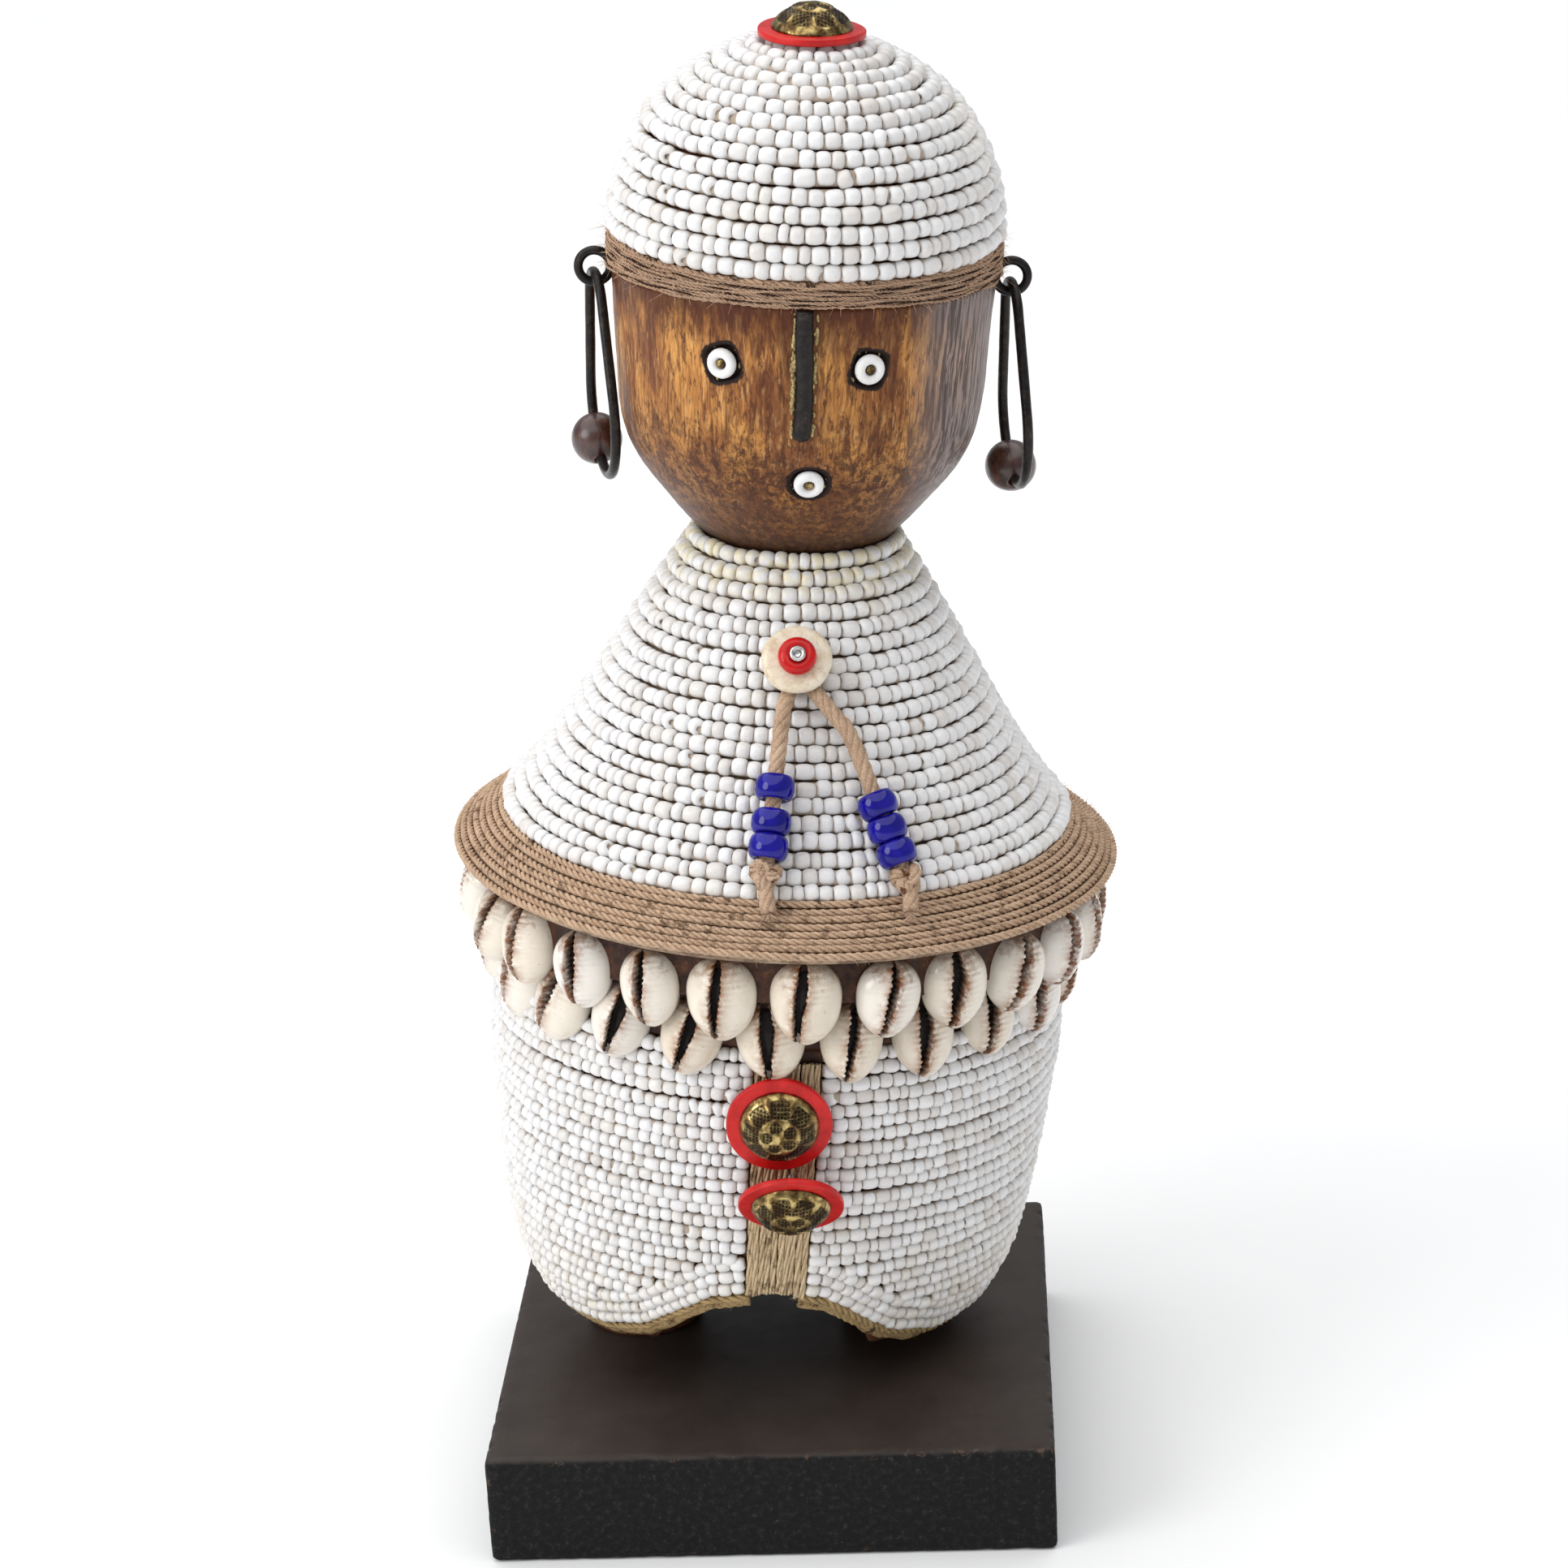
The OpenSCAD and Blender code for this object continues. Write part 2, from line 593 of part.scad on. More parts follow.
module cowrie() {
    half = cowrie_l / 2;
    outline = concat([[0, -half]],
        [for (t = [-70:20:70]) [cowrie_w / 2 * cos(t) * (1 - 0.12 * sin(t)), half * sin(t)]], [[0, half]]);
    difference() {
        translate([0, cowrie_w / 2 - cowrie_t, 0]) rotate_extrude($fn = 32) polygon(outline);
        translate([0, 10, 0]) cube([40, 20, 40], center = true);
        translate([-0.6, -cowrie_t - 1, -0.6]) cube([1.5, 6, cowrie_l * 0.7], center = true);
    }
}

module cowrie_row(count, first, r, h) color([0.88, 0.83, 0.73]) in_figure() for (i = [0:count - 1])
    rotate([0, 0, first + 360 * i / count]) translate([0, -r, h]) cowrie();

module cowries_upper() cowrie_row(upper_shells, shell_first, upper_shell_r, upper_shell_h);
module cowries_lower() cowrie_row(lower_shells, -shell_first, lower_shell_r, lower_shell_h);

/* ---------- trunk skin, band and hems ---------- */

module bead_half(side) color(ivory) in_figure()
    trunk_skin(band_mid + side * (band_half + 0.3), side * 179.8, 35, undef, skin_top, 0, skin_t, 9);

module trunk_beads_left() bead_half(-1);
module trunk_beads_right() bead_half(1);

module front_cord_band() color(jute) difference() {
    in_figure() trunk_skin(band_mid - band_half, band_mid + band_half, 6, undef, skin_top, 0.7, skin_t, 9);
    in_figure() upper_stud() nail_shaft(nail_r + gap, 10);
    in_figure() lower_stud() nail_shaft(nail_r + gap, 14);
}

module hem(side) color([0.42, 0.3, 0.16]) in_figure()
    trunk_skin(side * 8, side * 172, 32, 3, 0.6, 0.6, skin_t, 1);

module leg_hem_left() hem(-1);
module leg_hem_right() hem(1);

/* ---------- studs on the front band ---------- */

module upper_stud() translate([-0.9, -57, 72.7]) rotate([99, 0, 0]) children();
module lower_stud() translate([1.9, -56.35, 55.7]) rotate([128, 0, 0]) children();

module upper_washer() in_figure() upper_stud() washer();
module upper_button() in_figure() upper_stud() translate([0, 0, washer_t + gap]) button_dome();
module upper_nail() in_figure() upper_stud() nail(12.5);
module lower_washer() in_figure() lower_stud() washer();
module lower_button() in_figure() lower_stud() translate([0, 0, washer_t + gap]) button_dome();
module lower_nail() in_figure() lower_stud() nail(18.5);

display_block();
mounting_pins();
carved_figure();
nose_bar();
eye_bead_left();
eye_bead_right();
mouth_bead();
face_pins();
cap_bead_rows();
cap_rim_cords();
crown_washer();
crown_button();
crown_nail();
earring_eye_left();
earring_eye_right();
earring_hoop_left();
earring_hoop_right();
earring_ball_left();
earring_ball_right();
cape_form();
cape_bead_rows();
cape_brim_cords();
pendant_disc();
pendant_ring_bead();
pendant_pin();
tassel_cord_left();
tassel_cord_right();
tassel_beads_left();
tassel_beads_right();
tassel_knot_left();
tassel_knot_right();
cowrie_band();
cowries_upper();
cowries_lower();
trunk_beads_left();
trunk_beads_right();
front_cord_band();
leg_hem_left();
leg_hem_right();
upper_washer();
upper_button();
upper_nail();
lower_washer();
lower_button();
lower_nail();
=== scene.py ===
"""Beaded fertility doll on a display block: the looks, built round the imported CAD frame.

Points are in millimetres, in the figure's own frame as in the CAD, unless piece() is given another place.
"""

import math
import random

import bmesh
import bpy
import numpy as np
from mathutils import Matrix, Vector, noise


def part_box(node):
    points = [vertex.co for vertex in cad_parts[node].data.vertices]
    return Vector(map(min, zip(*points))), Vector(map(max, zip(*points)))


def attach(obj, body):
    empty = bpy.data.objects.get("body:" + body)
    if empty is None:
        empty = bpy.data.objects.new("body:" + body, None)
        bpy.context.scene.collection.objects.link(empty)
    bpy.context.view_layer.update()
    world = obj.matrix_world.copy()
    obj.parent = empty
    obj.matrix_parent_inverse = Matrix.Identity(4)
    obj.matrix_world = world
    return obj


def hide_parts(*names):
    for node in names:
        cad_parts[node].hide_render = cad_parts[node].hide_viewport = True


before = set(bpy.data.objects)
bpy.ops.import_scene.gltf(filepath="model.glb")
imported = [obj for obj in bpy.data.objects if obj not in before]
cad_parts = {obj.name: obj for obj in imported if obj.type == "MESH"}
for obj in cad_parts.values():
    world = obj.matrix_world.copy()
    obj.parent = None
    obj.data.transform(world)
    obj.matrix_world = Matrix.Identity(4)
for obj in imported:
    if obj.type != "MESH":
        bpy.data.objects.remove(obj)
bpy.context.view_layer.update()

MM = 0.001
TAU = 2 * math.pi


def rotated(degrees, axis):
    return Matrix.Rotation(math.radians(degrees), 4, axis)


def shift(*by):
    return Matrix.Translation(by)


# ---------- sizes and places, as in the CAD ----------

LEAN = 4.5
TURN = 3
FOOT_SHIFT = -2
block_low, block_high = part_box("display_block")
BLOCK_W = (block_high.x - block_low.x) / MM
BLOCK_H = (block_high.z - block_low.z) / MM

WORLD = Matrix.Diagonal((MM, MM, MM, 1))
STANDING = shift(FOOT_SHIFT, 0, BLOCK_H) @ rotated(LEAN, "Y") @ rotated(TURN, "Z")
FIGURE = WORLD @ STANDING

CAP_ROWS = 15
CAPE_ROWS = 20
CORD_SEAT_R = 36.3
CAP_CORD_D = 1.6
CAP_CORD_Z = 228.65
CAP_CORD_RISE = 3.1
CAP_TILT = 4.5
CAP_PIVOT = 231
HEAD_TOP = 227.4
COLLAR_H = 7.6
BRIM_START = np.array([57.6, 117.9])
BRIM_DIR = np.array([0.78, -0.627])
BRIM_PITCH = 1.61
BRIM_CORDS = 8
SKIN_TOP = 80
SKIN_DEEP = 2.75
TRUNK_TOP = 87
TRUNK_ROWS = 26
TRUNK_PITCH = 2.95
TRUNK_X, TRUNK_X_SLOPE = -2, 0.016
FLAT_LOW, FLAT_GAIN, FLAT_TOP = 0.80, 0.15, 75
HEM_ROWS = 3
BAND_MID = 1.2
BAND_HALF = 6.5
CROWN_Z = 273
WASHER_R = 10.3
WASHER_T = 1.4
BUTTON_R = 7.7
BUTTON_H = 5
STUD_HOLE = 0.86
FACE = {"left": (-25.2, 36.4, 216.2, -3), "right": (19.2, 36.4, 216.1, -3), "mouth": (2.5, 32.6, 193.3, -24)}
NOSE_TOP, NOSE_LOW = (37.1, 227.5), (35.5, 203.8)
PENDANT = (0.2, 18, 148.3, 32)
DISC_LIFT = 17.9
CORD_D = 2.5
BLUE_D = 7.2
BLUE_L = 4.7
KNOT_DROP = 5.2
HOOP_WIRE = 2
HOOP_H = 40
HOOP_TOP_R = 7
HOOP_LOW_R = 13
BALL_D = 10.2
BALL_HOLE_R = 1.12
EYE_R = 3.1
EYE_WIRE = 1.8
SHANK_L = 8.5
GAP = 0.05
HINGE_RISE = EYE_WIRE / 2 + HOOP_WIRE / 2 + GAP - EYE_R
EARRINGS = {"left": ((-40.5, 0, 226.9), -1, 15, 40), "right": ((40.2, 0, 227.1), 1, 10, 60)}
SHELL_L, SHELL_W, SHELL_T = 16.2, 12.8, 5.2

HEM = np.array([(0, 31), (13, 28.5), (22, 23), (30, 18), (45, 14), (60, 13), (90, 15), (120, 13), (135, 14),
                (150, 18), (158, 23), (167, 28.5), (180, 31)], float)
ARCH = [(0, 30.5), (13, 27.5), (18, 21.5), (21, 12), (22.5, 4), (23, -4)]
TASSELS = {
    "left": [(-0.8, -35.4, 156.2), (-1.4, -38.2, 152.8), (-2.4, -41.9, 149.5), (-4.56, -55.26, 128.5),
             (-5, -58, 124.2), (-4.8, -60, 121), (-4.3, -61.4, 117.9)],
    "right": [(1.4, -35.4, 156.2), (5.2, -38.4, 152.3), (8.4, -40.7, 149.1), (11.1, -42.8, 145.7),
              (19.8, -52.3, 126.9), (21.6, -54.3, 123), (22.5, -56, 120), (22.6, -57.8, 117.4)],
}
TASSEL_BEADS = {"left": (3, (0, 4.9, 11.6)), "right": (4, (0, 4.9, 9.8))}


def smooth_line(points, steps=4):
    """Catmull-Rom line through points, as the CAD draws it."""
    p = np.array(points, float)
    out = []
    for i in range(len(p) - 1):
        a, b, c, d = p[max(i - 1, 0)], p[i], p[i + 1], p[min(i + 2, len(p) - 1)]
        for t in (k / steps for k in range(steps)):
            out.append(0.5 * (2 * b + (c - a) * t + (2 * a - 5 * b + 4 * c - d) * t * t
                              + (3 * b - a - 3 * c + d) * t ** 3))
    return np.array(out + [p[-1]])


CAP_LINE = smooth_line([(37.1, 237.4), (36.4, 243.6), (34, 251), (30.5, 257.2), (26, 262.3), (20, 266.7),
                        (13, 270), (7.2, 271.2)])
CAPE_LINE = smooth_line([(20, 174.4), (28.3, 161.3), (35.5, 149.3), (42.6, 137.3), (50.6, 125.4), (55.7, 119.4)])
HEAD_LINE = smooth_line([(15.2, 172.2), (21, 178), (26.3, 184), (31, 190), (34.3, 197), (35.7, 205), (36.2, 213),
                         (36.8, 221), (37.2, HEAD_TOP)])
TRUNK_LINE = smooth_line([(23.6, 0), (32.8, 4), (41.7, 9), (47.9, 15), (52.6, 25), (55.5, 40), (57.2, 55),
                          (58.7, 70), (58.7, 84)], 3)


def run_lengths(points):
    """Length along a line of points, up to each of them."""
    return np.concatenate([[0], np.cumsum(np.linalg.norm(np.diff(points, axis=0), axis=1))])


def along_line(points, distances, runs=None):
    """Points, or values at them, at these distances along a line."""
    runs = run_lengths(points) if runs is None else runs
    return np.stack([np.interp(distances, runs, column) for column in points.T], -1)


def unit(v):
    v = np.asarray(v, float)
    return v / np.maximum(np.linalg.norm(v, axis=-1, keepdims=True), 1e-9)


def outward(points):
    """Level directions away from the figure's own axis."""
    return unit(points * (1, 1, 0))


def trunk_point(azimuth, height, deep):
    """A point of the trunk, at an azimuth from the front in degrees and a depth below the beads' outside."""
    a = np.radians(azimuth)
    r = np.interp(height, TRUNK_LINE[:, 1], TRUNK_LINE[:, 0]) - deep
    flat = FLAT_LOW + FLAT_GAIN * np.clip(np.asarray(height) / FLAT_TOP, 0, 1)
    x = TRUNK_X + TRUNK_X_SLOPE * height + r * np.sin(a)
    return np.stack(np.broadcast_arrays(x, -flat * r * np.cos(a), height), -1)


def trunk_normal(azimuth, height):
    round_it = trunk_point(azimuth + 0.5, height, 0) - trunk_point(azimuth - 0.5, height, 0)
    up_it = trunk_point(azimuth, height + 0.5, 0) - trunk_point(azimuth, height - 0.5, 0)
    return unit(np.cross(round_it, up_it))


def hem_height(azimuth):
    return np.interp(np.abs(azimuth), HEM[:, 0], HEM[:, 1])


def seat_matrix(seat, lift=0):
    """Places a shape on the figure with +Z out, as the CAD's on_surface does."""
    azimuth, radius, height, tilt = seat
    return rotated(azimuth, "Z") @ shift(0, -radius, height) @ rotated(90 - tilt, "X") @ shift(0, 0, lift)


def tilted(angle):
    """Tilt forward about the middle of the cap's rim, in degrees."""
    return shift(0, 0, CAP_PIVOT) @ rotated(angle, "X") @ shift(0, 0, -CAP_PIVOT)


def stood_on(axis, centre):
    """Places a shape with its Z axis along another axis."""
    place = Vector((0, 0, 1)).rotation_difference(Vector(axis)).to_matrix().to_4x4()
    place.translation = Vector(centre)
    return place


IN_CAP = tilted(CAP_TILT)
CROWN_STUD = IN_CAP @ shift(0, 0, CROWN_Z)
UPPER_STUD = shift(-0.9, -57, 72.7) @ rotated(99, "X")
LOWER_STUD = shift(1.9, -56.35, 55.7) @ rotated(128, "X")


def moved(points, matrix):
    """Points carried by a 4 x 4 matrix."""
    m = np.array(matrix)
    return np.asarray(points) @ m[:3, :3].T + m[:3, 3]


# ---------- meshes ----------


class Heap:
    """Points, faces and three values for each point (tint, mask, along), gathered for one piece."""

    def __init__(self):
        self.points, self.quads, self.tris, self.values, self.count = [], [], [], [], 0

    def add(self, points, quads, tris=(), tint=0.5, mask=0.0, along=0.0):
        self.points.append(points)
        self.quads.append(np.reshape(quads, (-1, 4)).astype(int) + self.count)
        self.tris.append(np.reshape(tris, (-1, 3)).astype(int) + self.count)
        self.values.append(np.stack([np.broadcast_to(v, (len(points),)) for v in (tint, mask, along)], -1))
        self.count += len(points)
        return self

    def gathered(self):
        return [np.concatenate(part) for part in (self.points, self.quads, self.tris, self.values)]


def grid_quads(rows, cols, wrap_rows=False):
    i = np.arange(rows if wrap_rows else rows - 1)[:, None]
    j = np.arange(cols)[None, :]
    a, b = i * cols, ((i + 1) % rows) * cols
    k = (j + 1) % cols
    return np.stack([a + j, a + k, b + k, b + j], -1).reshape(-1, 4)


def sleeve(rings):
    """Skin over rings of points, rings x around x 3, closed at both ends by fans."""
    n, m = rings.shape[:2]
    j, k = np.arange(m), (np.arange(m) + 1) % m
    points = np.concatenate([rings.reshape(-1, 3), [rings[0].mean(0), rings[-1].mean(0)]])
    low = np.stack([np.full(m, n * m), k, j], -1)
    high = np.stack([np.full(m, n * m + 1), (n - 1) * m + j, (n - 1) * m + k], -1)
    return points, grid_quads(n, m), np.concatenate([low, high])


def tangents(path, closed=False):
    return unit(np.roll(path, -1, 0) - np.roll(path, 1, 0) if closed else np.gradient(path, axis=0))


def frames(path, closed=False, normals=None):
    """Up and across directions along a path. Without normals, up is carried from point to point untwisted."""
    t = tangents(path, closed)
    if normals is None:
        normals = np.zeros_like(t)
        last = np.array([0, 0, 1.0]) if abs(t[0][2]) < 0.9 else np.array([1.0, 0, 0])
        for i, d in enumerate(t):
            last = unit(last - d * np.dot(last, d))
            normals[i] = last
    else:
        normals = unit(normals - t * np.sum(normals * t, -1, keepdims=True))
    return normals, np.cross(t, normals)


def add_tube(heap, path, radius, sides=8, closed=False, normals=None, flat=1.0, **values):
    """A tube along a path, squeezed by flat along its normals, and joined up or capped at its ends."""
    up, across = frames(path, closed, normals)
    a = np.linspace(0, TAU, sides, endpoint=False)[:, None]
    r = np.broadcast_to(radius, (len(path),))[:, None, None]
    rings = path[:, None] + r * (up[:, None] * (np.cos(a) * flat) + across[:, None] * np.sin(a))
    if closed:
        heap.add(rings.reshape(-1, 3), grid_quads(len(path), sides, True), **values)
    else:
        heap.add(*sleeve(rings), **values)


def add_strand(heap, rng, path, diameter, normals=None, closed=False, plies=2, lay=4.5, sides=6, **values):
    """Twisted cord: plies wound round the path, one turn for each lay."""
    run = run_lengths(path)
    total = run[-1] + (np.linalg.norm(path[-1] - path[0]) if closed else 0)
    turns = max(1, round(total / lay)) if closed else total / lay
    up, across = frames(path, closed, normals)
    ply_r = diameter / 2 * (0.54 if plies == 2 else 0.48)
    start = rng.uniform(0, TAU)
    for k in range(plies):
        angle = (TAU * (turns * run / total + k / plies) + start)[:, None]
        out = up * np.cos(angle) + across * np.sin(angle)
        add_tube(heap, path + out * (diameter / 2 - ply_r), ply_r, sides, closed, out,
                 tint=rng.uniform(0.1, 0.95), **values)


def add_fibres(heap, rng, path, normals, count, length=(1.2, 3.2), thick=0.055):
    """Loose fibres that stand off a cord."""
    t = tangents(path)
    s = np.linspace(0, 1, 5)[:, None]
    for _ in range(count):
        i = rng.randrange(len(path))
        side = unit(np.cross(t[i], normals[i]))
        aim = unit(normals[i] * rng.uniform(0.2, 1) + side * rng.uniform(-0.9, 0.9) + t[i] * rng.uniform(-1.2, 1.2))
        curl = unit(np.array([rng.gauss(0, 1) for _ in range(3)]))
        long = rng.uniform(*length)
        line = path[i] + aim * s * long + curl * (s ** 2) * long * rng.uniform(0.1, 0.5)
        add_tube(heap, line, thick * (1 - 0.8 * s[:, 0]), 3, tint=rng.uniform(0.3, 1))


def turned(profile, steps):
    """Rings of points turned round the Z axis from (radius, height) points."""
    p = np.array(profile, float)
    a = np.linspace(0, TAU, steps, endpoint=False)
    return np.stack([p[:, None, 0] * np.cos(a), p[:, None, 0] * np.sin(a),
                     np.broadcast_to(p[:, None, 1], (len(p), steps))], -1)


def lathe(profile, steps=64, place=None, wobble=None):
    """Closed skin turned round the Z axis. wobble changes the rings in place, given their angles."""
    rings = turned(profile, steps)
    if wobble is not None:
        wobble(rings, np.linspace(0, TAU, steps, endpoint=False))
    points, quads, tris = sleeve(rings)
    return (points if place is None else moved(points, place)), quads, tris


def rounded(points, radius, steps=4):
    """An outline with its corners rounded."""
    p = [np.array(q, float) for q in points]
    out = [p[0]]
    for a, b, c in zip(p, p[1:], p[2:]):
        r = min(radius, np.linalg.norm(b - a) / 2, np.linalg.norm(c - b) / 2)
        start, end = b + unit(a - b) * r, b + unit(c - b) * r
        for t in np.linspace(0, 1, steps + 1):
            out.append((1 - t) ** 2 * start + 2 * t * (1 - t) * b + t * t * end)
    return np.array(out + [p[-1]])


def roughness_of(points, scale, seed=0):
    """Smooth noise from -1 to 1 at each point, for features of about scale millimetres."""
    offset = Vector((seed * 17.3, seed * 5.1, seed * 9.7))
    return np.array([noise.noise(Vector(p) / scale + offset) for p in points])


def ripple(rng, where, *waves):
    """Sum of (amount, frequency) waves, each at a random start."""
    return sum(amount * np.sin(often * where + rng.uniform(0, 6)) for amount, often in waves)


def drift(rng, where, amount, waves):
    """A slow random wander, weaker in its shorter waves."""
    return sum(rng.uniform(-1, 1) * amount / k * np.sin(k * where + rng.uniform(0, 6.3)) for k in waves)


def piece(name, heap, material, body="root", place=FIGURE, stands_for=None):
    """Makes the gathered heap into an object that rides on a body, in place of its namesake node if there is one."""
    local, quads, tris, values = heap.gathered()
    a, b, c, d = (local[quads[:, k]] for k in range(4))
    e, f, g = (local[tris[:, k]] for k in range(3))
    if np.sum(np.cross(a, b) * c) + np.sum(np.cross(a, c) * d) + np.sum(np.cross(e, f) * g) < 0:
        quads, tris = quads[:, ::-1], tris[:, ::-1]
    mesh = bpy.data.meshes.new(name)
    mesh.vertices.add(len(local))
    mesh.vertices.foreach_set("co", moved(local, place).astype(np.float32).ravel())
    corners = np.concatenate([quads.ravel(), tris.ravel()]).astype(np.int32)
    mesh.loops.add(len(corners))
    mesh.loops.foreach_set("vertex_index", corners)
    starts = np.concatenate([np.arange(len(quads)) * 4, len(quads) * 4 + np.arange(len(tris)) * 3])
    mesh.polygons.add(len(starts))
    mesh.polygons.foreach_set("loop_start", starts.astype(np.int32))
    mesh.polygons.foreach_set("use_smooth", np.ones(len(starts), bool))
    mesh.update(calc_edges=True)
    own = mesh.attributes.new("own", "FLOAT_VECTOR", "POINT")
    own.data.foreach_set("vector", local.astype(np.float32).ravel())
    for column, label in zip(values.T, ("tint", "mask", "along")):
        mesh.attributes.new(label, "FLOAT", "POINT").data.foreach_set("value", column.astype(np.float32))
    mesh.materials.append(material)
    obj = linked(f"fine_{name}", mesh)
    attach(obj, body)
    node = stands_for or (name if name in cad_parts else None)
    if node:
        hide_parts(node)
    return obj


def linked(name, data):
    obj = bpy.data.objects.new(name, data)
    bpy.context.scene.collection.objects.link(obj)
    return obj


def solid(name, points, faces):
    """A plain object to cut or remesh, with its faces turned outwards."""
    mesh = bpy.data.meshes.new(name)
    mesh.from_pydata(np.asarray(points).tolist(), [], [list(map(int, face)) for face in faces])
    b = bmesh.new()
    b.from_mesh(mesh)
    bmesh.ops.recalc_face_normals(b, faces=b.faces)
    b.to_mesh(mesh)
    b.free()
    return linked(name, mesh)


def modify(obj, kind, **settings):
    modifier = obj.modifiers.new(kind, kind)
    for key, value in settings.items():
        setattr(modifier, key, value)


def baked(obj, *helpers):
    """Points, quads and triangles of an object with its modifiers applied. The object and its helpers go."""
    mesh = bpy.data.meshes.new_from_object(obj.evaluated_get(bpy.context.evaluated_depsgraph_get()))
    for used in (obj, *helpers):
        bpy.data.objects.remove(used)
    points = np.zeros(len(mesh.vertices) * 3)
    mesh.vertices.foreach_get("co", points)
    faces = [list(p.vertices) for p in mesh.polygons]
    return points.reshape(-1, 3), [f for f in faces if len(f) == 4], [f for f in faces if len(f) == 3]


# ---------- materials ----------


class Finish:
    """A procedural material round one Principled shader. Textures are in millimetres of the piece's own frame."""

    def __init__(self, name, own=True, **plain):
        self.material = bpy.data.materials.new(name)
        self.material.use_nodes = True
        self.tree = self.material.node_tree
        self.shader = self.tree.nodes["Principled BSDF"]
        for key, value in plain.items():
            self.shader.inputs[key.replace("_", " ").title().replace("Ior", "IOR")].default_value = value
        if own:
            self.place = self.attribute("own", "Vector")
        else:
            scale = self.node("ShaderNodeVectorMath", operation="SCALE")
            scale.inputs["Scale"].default_value = 1 / MM
            self.feed(scale.inputs[0], self.node("ShaderNodeTexCoord").outputs["Object"])
            self.place = scale.outputs[0]

    def node(self, kind, **settings):
        n = self.tree.nodes.new(kind)
        for key, value in settings.items():
            setattr(n, key, value)
        return n

    def feed(self, socket, value):
        if isinstance(value, bpy.types.NodeSocket):
            self.tree.links.new(value, socket)
        elif isinstance(value, tuple) and len(value) == 3 and len(socket.default_value) == 4:
            socket.default_value = (*value, 1)
        else:
            socket.default_value = value

    def attribute(self, name, output="Fac"):
        return self.node("ShaderNodeAttribute", attribute_name=name).outputs[output]

    def texture(self, kind, output, stretch=None, **numbers):
        n, place = self.node(kind), self.place
        if stretch is not None:
            m = self.node("ShaderNodeMapping", vector_type="POINT")
            self.feed(m.inputs["Vector"], place)
            m.inputs["Scale"].default_value = stretch
            place = m.outputs[0]
        self.feed(n.inputs["Vector"], place)
        for key, value in numbers.items():
            n.inputs[key].default_value = value
        return n.outputs[output]

    def noise(self, scale, detail=3, rough=0.55, stretch=None, twist=0.0):
        return self.texture("ShaderNodeTexNoise", "Fac", stretch, Scale=1 / scale, Detail=detail, Roughness=rough,
                            Distortion=twist)

    def span(self, value, low, high, to_low=0.0, to_high=1.0):
        """value from low to high, made into to_low to to_high."""
        n = self.node("ShaderNodeMapRange")
        for key, v in (("Value", value), ("From Min", low), ("From Max", high), ("To Min", to_low),
                       ("To Max", to_high)):
            self.feed(n.inputs[key], v)
        return n.outputs["Result"]

    def patches(self, low, high, *grain):
        """1 where noise is over high, 0 where it is under low."""
        return self.span(self.noise(*grain), low, high)

    def uneven(self, scale, low, high, detail=3):
        """A value that wanders between low and high, for roughness."""
        return self.span(self.noise(scale, detail), 0.3, 0.7, low, high)

    def ramp(self, value, *stops):
        n = self.node("ShaderNodeValToRGB")
        while len(n.color_ramp.elements) < len(stops):
            n.color_ramp.elements.new(0.5)
        for e, (at, colour) in zip(n.color_ramp.elements, stops):
            e.position, e.color = at, (*colour, 1)
        self.feed(n.inputs["Fac"], value)
        return n.outputs["Color"]

    def mix(self, share, a, b):
        n = self.node("ShaderNodeMix", data_type="RGBA")
        for key, v in (("Factor", share), (6, a), (7, b)):
            self.feed(n.inputs[key], v)
        return n.outputs[2]

    def sum(self, a, b, op="ADD"):
        n = self.node("ShaderNodeMath", operation=op)
        self.feed(n.inputs[0], a)
        self.feed(n.inputs[1], b)
        return n.outputs[0]

    def times(self, first, *rest):
        for factor in rest:
            first = self.sum(first, factor, "MULTIPLY")
        return first

    def frayed(self, value, by, *grain):
        """value with noise from 0 to by added, for a ragged edge."""
        return self.sum(value, self.times(self.noise(*grain), by))

    def tones(self, value, *stops):
        self.tone = self.ramp(value, *stops)

    def stain(self, share, colour, *masks):
        """Mixes share of a colour into the tone, where all masks are 1."""
        self.tone = self.mix(self.times(share, *masks), self.tone, colour)

    def split(self, axis):
        n = self.node("ShaderNodeSeparateXYZ")
        self.feed(n.inputs[0], self.place)
        return n.outputs[axis]

    def bump(self, height, depth, strength=1.0, under=None):
        """Height from 0 to 1, standing depth millimetres."""
        n = self.node("ShaderNodeBump")
        n.inputs["Distance"].default_value = depth * MM
        self.feed(n.inputs["Strength"], strength)
        self.feed(n.inputs["Height"], height)
        if under is not None:
            self.feed(n.inputs["Normal"], under)
        return n.outputs["Normal"]

    def finish(self, rough, normal=None):
        self.feed(self.shader.inputs["Base Color"], self.tone)
        self.feed(self.shader.inputs["Roughness"], rough)
        if normal is not None:
            self.feed(self.shader.inputs["Normal"], normal)
        return self.material


